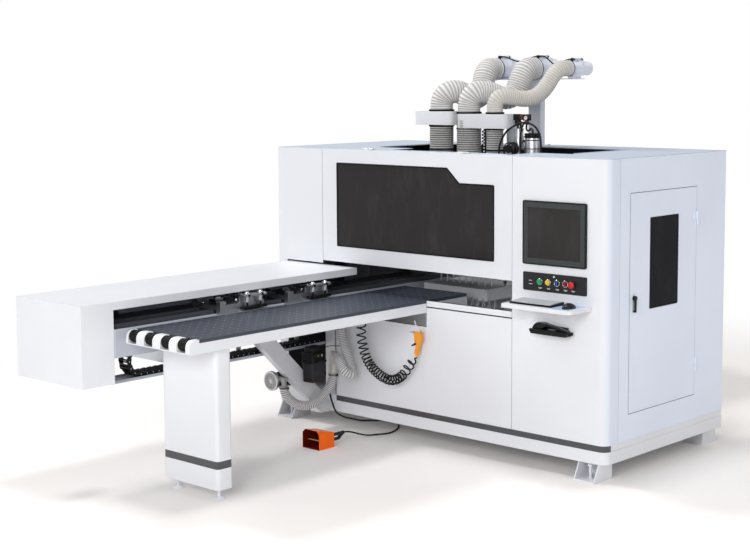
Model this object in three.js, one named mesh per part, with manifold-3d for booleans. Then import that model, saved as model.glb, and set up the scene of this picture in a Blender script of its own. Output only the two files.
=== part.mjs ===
// Six sided CNC drilling machine, in millimetres, +Z up.
// Machine frame: X to the right along the front, Y into the machine, Z up from the floor.
// The finished group is shifted so that its origin lies under the middle of the machine.
import * as THREE from 'three';
import { mergeVertices } from 'three/addons/utils/BufferGeometryUtils.js';
import Module from 'manifold-3d';

const wasm = await Module();
wasm.setup();

// Fits
const gap = 0.3;
const seam = 3;
const overrun = 5;
const weld = 2;
const hoseGap = 0.7;

// Facets
const roundSides = 12;
const smallSides = 8;
const filletSteps = 4;
const cornerSteps = 12;

// Cabinet
const cabinet = {
  width: 2810, depth: 1360, height: 1950, groundGap: 110, sheet: 3, fold: 25,
  cornerRadius: 55, cornerWrap: 131, columnWidth: 705, leftWidth: 441, panelStart: 563,
};
const base = {
  height: 116, rail: 100, rib: 60, pockets: 5, deck: 6, stripHeight: 39, stripRecess: 3,
  postX: 455, postWidth: 90, postSetback: 5, postDepth: 100,
};
const shoe = {
  width: 150, inset: 2, rightInset: 52, toe: 45, topFront: 12, back: 150, plate: 12, web: 8,
  boltY: 30, boltRadius: 9, nutRadius: 17, nutHeight: 12,
};

// Front covers
const slot = { bottom: 975, top: 1170, leftTop: 1150, leftStrip: 82 };
const lowerPanel = { stepTop: 800, ledgeHeight: 37, groove: 9, grooveDepth: 2 };
const pane = {
  left: 139, right: 143, top: 93, bottom: 107, stepDrop: 95, stepWidth: 284, stepRun: 102,
  corner: 12, thickness: 6, recess: 1,
};
const hinge = { barrel: 6, leaf: 30, leafThickness: 3, knuckle: 45 };

// Side door
const door = {
  start: 238, end: 1004, bottom: 386, top: 1737, windowStart: 222, windowEnd: 549,
  windowBottom: 623, windowTop: 1190, windowRecess: 1.5, hingeInset: 160,
};
const pull = {
  fromFront: 47, height: 710, hubRadius: 15, hubDepth: 18, length: 87, width: 18, thickness: 9,
  pinRadius: 6, lift: 12,
};

// Roof
const roofHole = { left: 650, right: 2300, front: 370, back: 1000, collar: 26 };

// Gantry
const gantry = {
  front: 640, back: 860, plateX: 28, plateWidth: 57, columnX: 2150, columnWidth: 200,
  bridgeBottom: 1400, bridgeTop: 1640, lowerBottom: 400, lowerTop: 560, rail: 20, railInset: 40,
};

// Clamp beam
const beam = {
  left: 300, right: 756, bottom: 805, top: 977, front: -2044, back: 2892, wall: 14,
  rail: 20, railLeft: 560, railRight: 690, rackWidth: 24, rackHeight: 14,
};
const tray = {
  front: -1850, depth: 230, width: 150, plate: 6, lip: 18, hanger: 40, hangerFirst: -1250, hangerPitch: 550,
  hangers: 3,
};
const cover = {
  left: 92, right: 744, bottom: 651, top: 1138, front: -2276, boxLength: 231, lip: 48,
  inside: 24, rib: 8, ribDrop: 138, ribFoot: 80, ribReach: 146, ribPitch: 640, ribs: 3, rearBox: 232,
};
const chain = {
  width: 90, link: 48, thickness: 36, notch: 5, notchWidth: 8, bend: 108, front: -1600,
  back: -20, upperBack: -1480, bracket: 8, bracketLeft: 150, bracketRight: 520, bracketBottom: 665,
};
const brace = { left: 455, width: 60, depthY: 166, topY: -654, slopeShare: 0.975 };

// Clamp units
const clamp = {
  length: 390, firstY: -1262, secondY: -677, saddle: 26, saddleSide: 34, armTop: 58,
  jawWidth: 56, jawThickness: 15, lowerJaw: 16, open: 8, plate: 13, plateTop: 98,
  plateStart: 190, plateLength: 190, cylinder: 15, cylinderLength: 35, rod: 7, rodEngaged: 8,
  rodInset: 38, stopLength: 48, stopHeight: 74, wall: 14,
};

// Float table
const table = {
  gapToBeam: 74, width: 565, top: 977, board: 20, frame: 62, lip: 8, noseFront: -2016,
  boardFront: -1945, inner: 420, noseRadius: 42, seamY: 90, seamWidth: 4, seamDepth: 2,
  pedestalWidth: 400, pedestalDepth: 100, pedestalY: 150,
};
const leg = {
  inset: 37, front: -1794, depth: 120, bottom: 65, corner: 25, footRadius: 45,
  footHeight: 14, stemRadius: 11, footInset: 62,
};
table.left = beam.right + table.gapToBeam;
table.right = table.left + table.width;
const roller = { radius: 36, width: 72, side: 2, first: 12, pitch: 147, axle: 7, axleLength: 8, proud: 1 };
leg.left = table.left + leg.inset;
leg.right = table.right - leg.inset;
const rearTable = { start: 640, end: 3050, legY: 2790, pedestalY: 1010 };

// Fluids and suction
const pump = {
  width: 110, front: -295, depth: 135, top: 604, split: 500, bottom: 362, tankInset: 4, bracket: 30,
  neck: 34, neckInset: 12, corner: 12,
};
const blower = {
  x: 391, front: -470, z: 374, radius: 52, length: 174, capRadius: 68, cap: 26, tail: 44, tailLength: 100,
  outletX: 484, outletY: -432, outletZ: 390, outletRadius: 18, bracketY: -400, bracket: 50, bracketZ: 396,
  bracketHeight: 24, flange: 5,
};
const hose = { radius: 31, rib: 3, wall: 6, pitch: 32 };
const fitting = { x: 600, y: -72, bottom: 404, top: 552, radius: 27, lean: 14, collar: 4, collarLength: 14 };

// Air gun
const gun = {
  x: 1367, y: -46, top: 773, height: 160, width: 68, thickness: 22, corner: 5,
  eyeX: 20, eyeDrop: 2, eye: 6, boss: 11,
  wire: 3, wireSteps: 10, wireRise: 72, trigger: 12, pin: 3, nut: 9,
};
const gunShares = [
  [-0.42, -0.12], [-0.24, 0], [0.12, 0], [0.32, -0.07], [0.44, -0.18], [0.5, -0.32], [0.34, -0.45],
  [0.24, -0.5], [-0.04, -1], [-0.38, -1], [-0.43, -0.9], [-0.15, -0.52], [-0.42, -0.4],
];
const triggerShares = [[0.08, 0.02], [-0.28, -0.13], [-0.62, -0.2], [-0.62, -0.26], [-0.2, -0.2], [0.1, -0.08]];
const curl = { radius: 30, tube: 5, turns: 28, sides: 5, stepsPerTurn: 8, ease: 0.05 };
const curlShares = [
  [0, 0], [0.09, 0.14], [0.18, 0.27], [0.27, 0.37], [0.32, 0.41], [0.6, 0.61], [0.87, 0.81], [1, 1],
];

// Foot pedal
const pedal = {
  x: 797, y: -565, width: 156, length: 140, height: 128, backHeight: 100, wall: 3, chamfer: 24, basePlate: 5,
  plateWidth: 110, plateLength: 104, plateThickness: 6, hingeInset: 22, hingeHeight: 34, pin: 5,
  tiltDegrees: 12, glandRadius: 12, glandLength: 107, glandX: 140, glandZ: 79, glandStart: 60, glandSpread: 30,
};
const cable = { radius: 5.5, steps: 80 };

// Control column
const monitor = {
  left: 88, bottom: 1288, width: 473, height: 393, proud: 14, depth: 46, bezelSide: 43,
  bezelEnd: 38, recess: 4, corner: 14,
};
const buttons = {
  left: 89, bottom: 1125, width: 474, height: 114, thickness: 6, corner: 8, row: 61,
  slotHeight: 44, capRadius: 16, capHeight: 12, stemRadius: 9, stemLength: 30, collar: 3,
  collarHeight: 4, travel: 5, stopRadius: 22, stopHeight: 24, lampX: 236, lampY: 98, lampRadius: 6,
  barWidth: 8, barHeight: 9,
};
const buttonShares = [0.278, 0.411, 0.549, 0.679, 0.797];
const shelf = { left: 85, width: 510, depth: 225, top: 1064, corner: 40, rimHeight: 10 };
const keyboard = { left: 40, width: 306, depth: 140, inset: 36, height: 24, front: 14, rows: 5, rowHeight: 5, rowShare: 0.72 };
const mouse = { left: 440, width: 62, length: 104, height: 34, fromFront: 40 };
const holder = { left: 185, width: 295, bottom: 872, height: 62, depth: 74, wall: 4 };
const scanner = {
  width: 270, headLength: 96, headHeight: 66, body: 48, handle: 34, thickness: 44, nose: 20,
};

// Dust system
const duct = {
  z: 2490, front: 1000, length: 240, wall: 4, step: 8, collarLength: 10, cylinder: 11, cylinderLength: 120,
  cylinderLift: 14, cylinderInset: 48, foot: 9, plate: 6, plateY: 1040, plateDepth: 90, plateOver: 55,
  saddle: 22,
};
const ductX = [1175, 1512, 1798];
const ductRadius = [78, 77, 54];
const post = { left: 1439, width: 104, front: 1045, depth: 50, foot: 38, footThickness: 8 };
const riser = { x: [1107, 1307, 1530], y: [500, 552, 552], bottom: 1905, rib: 4, wall: 8, pitch: 60 };
const rack = {
  left: [943, 1275], right: [1245, 1675], front: [416, 470], back: [592, 611], bottom: [2112, 2093],
  top: [2204, 2188], corner: 40, band: 4, bandHeight: 14,
};
const head = {
  left: 1000, right: 1950, plate: 22, bottom: 1200, blockLength: 90, blockHeight: 62,
  shelfTop: 1900, shelf: 12, shelfFront: 416, armLeft: [1193, 1600], armWidth: [30, 72],
  canisterX: 1884, canisterY: 500, canisterRadius: 50, canisterTop: 2070, capHeight: 30,
  capOver: 5, columnX: 1747, columnY: 532, columnRadius: 34, columnTop: 2092, motorX: 1742, motorY: 424,
  motorRadius: 45, motorZ: 1966, motorLength: 60, regulatorSize: 46, regulatorHeight: 72,
  gaugeRadius: 17, airTube: 7, airSteps: 7,
};
const drill = {
  left: 1060, right: 1560, front: 436, bottom: 1120, top: 1390, bits: 9, bitRadius: 5,
  chuckRadius: 11, chuckLength: 40, bitLength: 52, spindleX: 1650, spindleRadius: 48,
  spindleBottom: 1080, collet: 18, colletLength: 34, sideBlock: 70,
};
const lowerHead = {
  left: 1290, right: 1620, plateTop: 860, front: 446, blockBottom: 640, blockTop: 870,
  bits: 5, inset: 40,
};

// Derived places
const left = 0;
const columnX = cabinet.width - cabinet.columnWidth;
const baseTop = cabinet.groundGap + base.height;
const wallTop = cabinet.height - cabinet.sheet - gap;
const frontFold = cabinet.fold + gap;
const stepX = table.right + seam;

// Small helpers
const order = (a, b) => (a < b ? [a, b] : [b, a]);
const running = (radius, sides) => (radius + gap) / Math.cos(Math.PI / sides);

function fillet(points, steps = filletSteps) {
  const result = [];
  points.forEach(([x, y, radius], index) => {
    if (!radius) {
      result.push([x, y]);
      return;
    }
    const corner = new THREE.Vector2(x, y);
    const before = points[(index + points.length - 1) % points.length];
    const after = points[(index + 1) % points.length];
    const toBefore = new THREE.Vector2(before[0], before[1]).sub(corner).normalize();
    const toAfter = new THREE.Vector2(after[0], after[1]).sub(corner).normalize();
    const half = Math.acos(THREE.MathUtils.clamp(toBefore.dot(toAfter), -1, 1)) / 2;
    const reach = radius / Math.tan(half);
    const middle = toBefore.clone().add(toAfter).normalize();
    const centre = corner.clone().addScaledVector(middle, radius / Math.sin(half));
    const start = corner.clone().addScaledVector(toBefore, reach).sub(centre);
    const end = corner.clone().addScaledVector(toAfter, reach).sub(centre);
    let sweep = end.angle() - start.angle();
    if (sweep > Math.PI) sweep -= 2 * Math.PI;
    if (sweep < -Math.PI) sweep += 2 * Math.PI;
    for (let step = 0; step <= steps; step += 1) {
      const angle = start.angle() + (sweep * step) / steps;
      result.push([centre.x + radius * Math.cos(angle), centre.y + radius * Math.sin(angle)]);
    }
  });
  return result;
}

function rectangle(x0, y0, x1, y1, radius = 0, steps = filletSteps) {
  return fillet([[x0, y0, radius], [x1, y0, radius], [x1, y1, radius], [x0, y1, radius]], steps);
}

function inset(points, distance) {
  const area = THREE.ShapeUtils.area(points.map(([x, y]) => new THREE.Vector2(x, y)));
  const side = area > 0 ? 1 : -1;
  return points.map((point, index) => {
    const before = points[(index + points.length - 1) % points.length];
    const after = points[(index + 1) % points.length];
    const first = new THREE.Vector2(point[0] - before[0], point[1] - before[1]).normalize();
    const second = new THREE.Vector2(after[0] - point[0], after[1] - point[1]).normalize();
    const normal = new THREE.Vector2(-first.y - second.y, first.x + second.x).multiplyScalar(side);
    const along = normal.lengthSq() / 2;
    return [point[0] + (normal.x * distance) / along, point[1] + (normal.y * distance) / along];
  });
}

// Outlines are drawn in (X, Y) for axis z, (X, Z) for axis y and (Y, Z) for axis x
function extrude(axis, points, from, to, holes = []) {
  const shape = new THREE.Shape(points.map(([x, y]) => new THREE.Vector2(x, y)));
  holes.forEach((hole) => shape.holes.push(new THREE.Path(hole.map(([x, y]) => new THREE.Vector2(x, y)))));
  const geometry = new THREE.ExtrudeGeometry(shape, { depth: to - from, bevelEnabled: false });
  const X = new THREE.Vector3(1, 0, 0);
  const Y = new THREE.Vector3(0, 1, 0);
  const Z = new THREE.Vector3(0, 0, 1);
  if (axis === 'x') return geometry.applyMatrix4(new THREE.Matrix4().makeBasis(Y, Z, X)).translate(from, 0, 0);
  if (axis === 'y') {
    return geometry.applyMatrix4(new THREE.Matrix4().makeBasis(X, Z, Y.negate())).translate(0, to, 0);
  }
  return geometry.translate(0, 0, from);
}

function span([x0, y0, z0], [x1, y1, z1]) {
  const geometry = new THREE.BoxGeometry(x1 - x0, y1 - y0, z1 - z0);
  return geometry.translate((x0 + x1) / 2, (y0 + y1) / 2, (z0 + z1) / 2);
}

// A round bar or cone along an axis, from its start centre
function rod(axis, [x, y, z], radius, length, sides = roundSides, endRadius = radius) {
  const geometry = new THREE.CylinderGeometry(endRadius, radius, length, sides);
  geometry.translate(0, length / 2, 0);
  if (axis === 'x') geometry.rotateZ(-Math.PI / 2);
  if (axis === 'z') geometry.rotateX(Math.PI / 2);
  return geometry.translate(x, y, z);
}

function toSolid(geometry) {
  const bare = geometry.index ? geometry.toNonIndexed() : geometry.clone();
  ['normal', 'uv'].forEach((name) => bare.deleteAttribute(name));
  const merged = mergeVertices(bare);
  const mesh = new wasm.Mesh({
    numProp: 3,
    vertProperties: new Float32Array(merged.attributes.position.array),
    triVerts: new Uint32Array(merged.index.array),
  });
  return new wasm.Manifold(mesh);
}

function toGeometry(solid) {
  const mesh = solid.getMesh();
  const geometry = new THREE.BufferGeometry();
  geometry.setAttribute('position', new THREE.BufferAttribute(mesh.vertProperties, mesh.numProp));
  geometry.setIndex(new THREE.BufferAttribute(mesh.triVerts, 1));
  return geometry;
}

function join(...geometries) {
  return toGeometry(geometries.map(toSolid).reduce((whole, solid) => whole.add(solid)));
}

function cut(body, ...tools) {
  return toGeometry(tools.map(toSolid).reduce((whole, solid) => whole.subtract(solid), toSolid(body)));
}

function keepInside(body, limit) {
  return toGeometry(toSolid(body).intersect(toSolid(limit)));
}

// A closed skin over rings of equal size; open ends are capped, a looped skin closes on itself
function skin(rings, looped = false) {
  const count = rings[0].length;
  const positions = rings.flat().flatMap((point) => point.toArray());
  const indices = [];
  const last = looped ? rings.length : rings.length - 1;
  for (let ring = 0; ring < last; ring += 1) {
    const next = (ring + 1) % rings.length;
    for (let side = 0; side < count; side += 1) {
      const after = (side + 1) % count;
      const [a, b] = [ring * count + side, ring * count + after];
      const [c, d] = [next * count + after, next * count + side];
      indices.push(a, b, c, a, c, d);
    }
  }
  if (!looped) {
    const end = (rings.length - 1) * count;
    for (let side = 1; side < count - 1; side += 1) {
      indices.push(0, side + 1, side);
      indices.push(end, end + side, end + side + 1);
    }
  }
  const geometry = new THREE.BufferGeometry();
  geometry.setAttribute('position', new THREE.Float32BufferAttribute(positions, 3));
  geometry.setIndex(indices);
  return geometry;
}

function smoothPath(points) {
  return new THREE.CatmullRomCurve3(points.map((point) => new THREE.Vector3(...point)), false, 'centripetal');
}

// Rings of one radius each along a curve, in frames that don't twist
function ringsAlong(curve, radii, sides) {
  const count = radii.length - 1;
  const frames = curve.computeFrenetFrames(count, false);
  return radii.map((radius, index) => {
    const centre = curve.getPointAt(index / count);
    return Array.from({ length: sides }, (_, side) => {
      const angle = (2 * Math.PI * side) / sides;
      return centre.clone()
        .addScaledVector(frames.normals[index], radius * Math.cos(angle))
        .addScaledVector(frames.binormals[index], radius * Math.sin(angle));
    });
  });
}

// A plain round tube along a curve
function cord(curve, radius, steps, sides = smallSides) {
  const section = new THREE.Shape(Array.from({ length: sides }, (_, side) => {
    const angle = (2 * Math.PI * side) / sides;
    return new THREE.Vector2(radius * Math.cos(angle), radius * Math.sin(angle));
  }));
  return new THREE.ExtrudeGeometry(section, { steps, extrudePath: curve, bevelEnabled: false });
}

// A ribbed hose: crest and valley rings outside, a bore ring inside each valley
function ribbedHose(curve, outer, ribDepth, wall, pitch) {
  const ribs = Math.max(1, Math.round(curve.getLength() / pitch));
  const rings = Array.from({ length: 2 * ribs + 1 }, (_, index) => (index % 2 ? outer : outer - ribDepth));
  const outside = ringsAlong(curve, rings, smallSides);
  const bore = outside.filter((_, index) => index % 2 === 0)
    .map((ring, index) => matchRing(ring, curve.getPointAt(index / ribs), outer - wall));
  return skin([...outside, ...bore.reverse()], true);
}

function matchRing(ring, centre, radius) {
  return ring.map((point) => point.clone().sub(centre).setLength(radius).add(centre));
}

const finishes = {
  white: { color: 0xe9ebf2, roughness: 0.45, metalness: 0.1 },
  paleBlue: { color: 0xc9d2e0, roughness: 0.5, metalness: 0.1 },
  grey: { color: 0x8e939a, roughness: 0.5, metalness: 0.2 },
  darkGrey: { color: 0x5a5d60, roughness: 0.6, metalness: 0.1 },
  black: { color: 0x17181a, roughness: 0.6, metalness: 0 },
  glass: { color: 0x39363a, roughness: 0.1, metalness: 0 },
  board: { color: 0x33393f, roughness: 0.5, metalness: 0 },
  steel: { color: 0xb8bcc2, roughness: 0.3, metalness: 0.9 },
  hose: { color: 0xb5b2ac, roughness: 0.7, metalness: 0 },
  plastic: { color: 0xeae8df, roughness: 0.5, metalness: 0 },
  orange: { color: 0xf0580c, roughness: 0.4, metalness: 0 },
  green: { color: 0x1f9a4a, roughness: 0.4, metalness: 0 },
  yellow: { color: 0xe8c320, roughness: 0.4, metalness: 0 },
  blue: { color: 0x2a56b0, roughness: 0.4, metalness: 0 },
  red: { color: 0xc2201c, roughness: 0.4, metalness: 0 },
};

function piece(parent, name, geometry, finish, place = [0, 0, 0]) {
  const mesh = new THREE.Mesh(geometry, new THREE.MeshStandardMaterial(finishes[finish]));
  mesh.name = name;
  mesh.position.set(...place);
  parent.add(mesh);
  return mesh;
}

// Folded sheet: an outer skin with its edges turned inwards; inward is +1 or -1 along the axis
function foldedPanel(axis, points, face, inward, holes = [], fold = cabinet.fold) {
  const back = face + inward * fold;
  const body = extrude(axis, points, ...order(face, back));
  const hollowEnds = order(face + inward * cabinet.sheet, back + inward * overrun);
  const hollow = extrude(axis, inset(points, cabinet.sheet), ...hollowEnds);
  const holeEnds = order(face - inward * overrun, face + inward * (cabinet.sheet + overrun));
  return cut(body, hollow, ...holes.map((hole) => extrude(axis, hole, ...holeEnds)));
}

// Base frame with its ribs, foot shoes and front post
function footShoe(x, y) {
  // Built from its left edge at the base's front, open at the toe
  const top = cabinet.groundGap;
  const side = [[-shoe.toe, 0], [shoe.back, 0], [shoe.back, top + weld], [shoe.topFront, top + weld]];
  const webs = [0, shoe.width - shoe.web].map((start) => extrude('x', side, start, start + shoe.web));
  const plate = span([0, -shoe.toe, 0], [shoe.width, shoe.back, shoe.plate]);
  const back = span([0, shoe.back - shoe.web, 0], [shoe.width, shoe.back, top + weld]);
  const middle = shoe.width / 2;
  const bolt = rod('z', [middle, shoe.boltY, shoe.plate - weld], shoe.boltRadius, top - shoe.plate + 2 * weld,
    smallSides);
  const nuts = [shoe.plate - weld, top - 2 * shoe.nutHeight]
    .map((z) => rod('z', [middle, shoe.boltY, z], shoe.nutRadius, shoe.nutHeight, 6));
  return join(...webs, plate, back, bolt, ...nuts).translate(x, y, 0);
}

function baseFrame() {
  const { width, depth, groundGap, cornerRadius, panelStart } = cabinet;
  const stripBottom = baseTop - base.stripHeight;
  const corner = cornerRadius;
  const plan = fillet([[left, 0], [width, 0, corner], [width, depth], [left, depth]], cornerSteps);
  const recess = base.stripRecess;
  const stripPlan = fillet([
    [left, 0], [panelStart, 0], [panelStart, recess], [width - recess, recess, corner - recess],
    [width - recess, depth], [left, depth],
  ], cornerSteps);
  const lower = extrude('z', plan, groundGap, stripBottom);
  const upper = extrude('z', stripPlan, stripBottom - weld, baseTop);
  const inner = width - 2 * base.rail - (base.pockets - 1) * base.rib;
  const pocketWidth = inner / base.pockets;
  const pockets = Array.from({ length: base.pockets }, (_, index) => {
    const x = base.rail + index * (pocketWidth + base.rib);
    return span([x, base.rail, groundGap - overrun], [x + pocketWidth, depth - base.rail, baseTop - base.deck]);
  });
  const slab = cut(join(lower, upper), ...pockets);
  const shoeXs = [shoe.inset, width - shoe.rightInset - shoe.width];
  const fronts = shoeXs.map((x) => footShoe(x, 0));
  const backs = shoeXs.map((x) => footShoe(-x - shoe.width, -depth).rotateZ(Math.PI));
  const postRight = base.postX + base.postWidth;
  const frontPost = span(
    [base.postX, base.postSetback, baseTop - weld],
    [postRight, base.postSetback + base.postDepth, beam.bottom - gap],
  );
  const gland = rod('y', [base.postX + base.postWidth / 2, cableEnd[1] + cable.radius + gap, cableEnd[2]],
    cable.radius * 2, base.postSetback + weld - cableEnd[1] - cable.radius - gap, smallSides);
  return join(slab, ...fronts, ...backs, frontPost, gland);
}

// Front, side, rear and top covers
function frontLeftPanel() {
  const right = cabinet.leftWidth;
  const points = [
    [left, baseTop + gap], [slot.leftStrip, baseTop + gap], [slot.leftStrip, slot.leftTop],
    [right, slot.leftTop], [right, wallTop], [left, wallTop],
  ];
  return foldedPanel('y', points, 0, 1);
}

function frontLowerPanel() {
  const right = columnX - seam;
  const points = [
    [cabinet.panelStart, baseTop + gap], [right, baseTop + gap], [right, slot.bottom],
    [stepX, slot.bottom], [stepX, lowerPanel.stepTop],
    [cabinet.panelStart, lowerPanel.stepTop],
  ];
  const ledgeBottom = slot.bottom - lowerPanel.ledgeHeight;
  const groove = span(
    [stepX - overrun, -overrun, ledgeBottom - lowerPanel.groove],
    [right + overrun, lowerPanel.grooveDepth, ledgeBottom],
  );
  const hookX = gun.x + gun.eyeX;
  const hookZ = gun.top - gun.eyeDrop + gun.eye - gun.wire + gap;
  const hook = cord(smoothPath([
    [hookX, weld, hookZ],
    [hookX, gun.y / 2, hookZ],
    [hookX, gun.y - gun.thickness / 2 - gun.wire, hookZ],
    [hookX - gun.eye / 2, gun.y - gun.thickness - gun.wire, hookZ + gun.eye * 2],
    [hookX - gun.wireRise / 2, gun.y - gun.thickness, hookZ + gun.wireRise],
  ]), gun.wire, gun.wireSteps);
  return join(cut(foldedPanel('y', points, 0, 1), groove), hook);
}

function controlColumn() {
  const { width, cornerRadius, cornerWrap, sheet, fold } = cabinet;
  const outerArc = fillet([[width - cornerWrap, 0], [width, 0, cornerRadius], [width, cornerWrap]], cornerSteps)
    .slice(1, -1);
  const innerArc = fillet([
    [width - cornerWrap, sheet], [width - sheet, sheet, cornerRadius - sheet], [width - sheet, cornerWrap],
  ], cornerSteps).slice(1, -1);
  const plan = [
    [columnX, 0], ...outerArc, [width, cornerWrap], [width - sheet, cornerWrap], ...innerArc.reverse(),
    [columnX + sheet, sheet], [columnX + sheet, fold], [columnX, fold],
  ];
  const shell = extrude('z', plan, baseTop + gap, wallTop);
  const screenHole = span(
    [columnX + monitor.left + monitor.bezelSide, -overrun, monitor.bottom + monitor.bezelEnd],
    [columnX + monitor.left + monitor.width - monitor.bezelSide, sheet + overrun,
      monitor.bottom + monitor.height - monitor.bezelEnd],
  );
  const row = buttons.bottom + buttons.row;
  const buttonHole = span(
    [columnX + buttons.left + buttons.slotHeight, -overrun, row - buttons.slotHeight / 2],
    [columnX + buttons.left + buttons.width - buttons.slotHeight, sheet + overrun, row + buttons.slotHeight / 2],
  );
  return cut(shell, screenHole, buttonHole);
}

function hingeLeaf(from, direction) {
  // One knuckle on the side door's hinge line with its leaf, direction +1 towards the rear
  const x = cabinet.width + gap + hinge.barrel;
  const y = door.end;
  const z = from;
  const knuckle = rod('z', [x, y, z], hinge.barrel, hinge.knuckle - gap, smallSides);
  const [y0, y1] = order(y, y + direction * hinge.leaf);
  const leaf = span(
    [cabinet.width - weld, y0, z],
    [cabinet.width + hinge.leafThickness, y1, z + hinge.knuckle - gap],
  );
  const cutter = span(
    [cabinet.width - overrun, door.end - seam, z - overrun],
    [cabinet.width + gap, door.end + seam, z + hinge.knuckle + overrun],
  );
  return direction > 0 ? join(knuckle, leaf) : join(knuckle, cut(leaf, cutter));
}

const hingeHeights = [door.bottom + door.hingeInset, door.top - door.hingeInset - 2 * hinge.knuckle];

function rightSidePanel() {
  const points = [
    [cabinet.cornerWrap + seam, baseTop + gap], [cabinet.depth, baseTop + gap],
    [cabinet.depth, wallTop], [cabinet.cornerWrap + seam, wallTop],
  ];
  const opening = rectangle(door.start, door.bottom, door.end, door.top);
  const panel = foldedPanel('x', points, cabinet.width, -1, [opening]);
  return join(panel, ...hingeHeights.map((z) => hingeLeaf(z, 1)));
}

function leftSidePanel() {
  const points = rectangle(frontFold, baseTop + gap, cabinet.depth, wallTop);
  return foldedPanel('x', points, left, 1);
}

function rearPanel() {
  const right = cabinet.width - frontFold;
  const passageLeft = slot.leftStrip;
  const passageBottom = beam.bottom - tray.depth - cabinet.fold;
  const points = [
    [left + frontFold, baseTop + gap], [right, baseTop + gap], [right, wallTop], [left + frontFold, wallTop],
  ];
  const passage = rectangle(passageLeft, passageBottom, columnX, slot.top);
  return foldedPanel('y', points, cabinet.depth, -1, [passage]);
}

function roofPanel() {
  const { width, depth, height, sheet, cornerRadius } = cabinet;
  const notchLeft = cabinet.leftWidth + seam / 2;
  const notchRight = columnX - seam / 2;
  const plan = fillet([
    [left, 0], [notchLeft, 0], [notchLeft, frontFold + seam], [notchRight, frontFold + seam],
    [notchRight, 0], [width, 0, cornerRadius], [width, depth], [left, depth],
  ], cornerSteps);
  const hole = rectangle(roofHole.left, roofHole.front, roofHole.right, roofHole.back);
  const skinPlate = extrude('z', plan, height - sheet, height, [hole]);
  const collarOuter = rectangle(
    roofHole.left - sheet, roofHole.front - sheet, roofHole.right + sheet, roofHole.back + sheet,
  );
  const collar = extrude('z', collarOuter, height - weld, height + roofHole.collar, [hole]);
  return join(skinPlate, collar, ...coverHingeXs().map((x) => coverKnuckle(x, 1)));
}

// The upper front cover hangs from a hinge line on the roof's front edge
const coverAxis = { y: cabinet.fold + seam / 2 + gap, z: cabinet.height + gap + hinge.barrel };

function coverHingeXs() {
  const width = columnX - cabinet.leftWidth;
  return [cabinet.leftWidth + width / 4, columnX - width / 4];
}

function coverKnuckle(x, direction) {
  // direction +1 is the roof's half, -1 the cover's half
  const start = direction > 0 ? x : x - hinge.knuckle;
  const knuckle = rod('x', [start, coverAxis.y, coverAxis.z], hinge.barrel, hinge.knuckle - gap, smallSides);
  const reach = direction > 0 ? hinge.leaf : -cabinet.fold;
  const [y0, y1] = order(coverAxis.y + direction * weld, coverAxis.y + reach);
  const leaf = span(
    [start, y0, cabinet.height - weld],
    [start + hinge.knuckle - gap, y1, cabinet.height + hinge.leafThickness],
  );
  return join(knuckle, leaf);
}

function panePoints(shrink) {
  const x0 = cabinet.leftWidth + pane.left + shrink;
  const x1 = columnX - pane.right - shrink;
  const z0 = slot.top + pane.bottom + shrink;
  const z1 = cabinet.height - pane.top - shrink;
  const step = z1 - pane.stepDrop;
  const r = pane.corner;
  return fillet([
    [x0, z0, r], [x1, z0, r], [x1, step, r], [x1 - pane.stepWidth, step, r],
    [x1 - pane.stepWidth - pane.stepRun, z1, r], [x0, z1, r],
  ]);
}

function windowCover() {
  const points = rectangle(cabinet.leftWidth + seam, slot.top, columnX - seam, cabinet.height);
  const panel = foldedPanel('y', points, 0, 1, [panePoints(0)]);
  return join(panel, ...coverHingeXs().map((x) => coverKnuckle(x, -1)));
}

function sideDoor() {
  const points = rectangle(door.start + seam, door.bottom + seam, door.end - seam, door.top - seam);
  const panel = foldedPanel('x', points, cabinet.width, -1);
  const window = rectangle(
    door.start + door.windowStart, door.bottom + door.windowBottom,
    door.start + door.windowEnd, door.bottom + door.windowTop,
  );
  const recess = extrude('x', window, cabinet.width - door.windowRecess, cabinet.width + overrun);
  const pinHole = rod('x', [cabinet.width - 2 * overrun, pullY, pullZ], running(pull.pinRadius, smallSides),
    3 * overrun, smallSides);
  const leaves = hingeHeights.map((z) => hingeLeaf(z + hinge.knuckle, -1));
  return join(cut(panel, recess, pinHole), ...leaves);
}

const pullY = door.start + pull.fromFront;
const pullZ = door.bottom + pull.height;

function doorPull() {
  const hub = rod('x', [0, 0, 0], pull.hubRadius, pull.hubDepth);
  const pin = rod('x', [-cabinet.sheet - 2 * gap, 0, 0], pull.pinRadius, cabinet.sheet + 2 * gap + weld, smallSides);
  const lever = extrude('x', fillet([
    [-pull.width / 2, pull.hubRadius / 2], [pull.width / 2, pull.hubRadius / 2],
    [pull.width / 3, -pull.length, pull.width / 4], [-pull.width / 3, -pull.length, pull.width / 4],
  ]), pull.hubDepth - pull.thickness, pull.hubDepth);
  return join(hub, pin, lever);
}

// Gantry: portal plate, column, bridge and lower beam in one ring round the panel passage
function gantryRail(zCentre) {
  const { front, rail, plateX, plateWidth, columnX: column } = gantry;
  return span(
    [plateX + plateWidth - weld, front - rail, zCentre - rail / 2],
    [column + weld, front + weld, zCentre + rail / 2],
  );
}

const upperRails = [gantry.bridgeBottom + gantry.railInset, gantry.bridgeTop - gantry.railInset];
const lowerRails = [gantry.lowerBottom + gantry.railInset, gantry.lowerTop - gantry.railInset];

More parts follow.
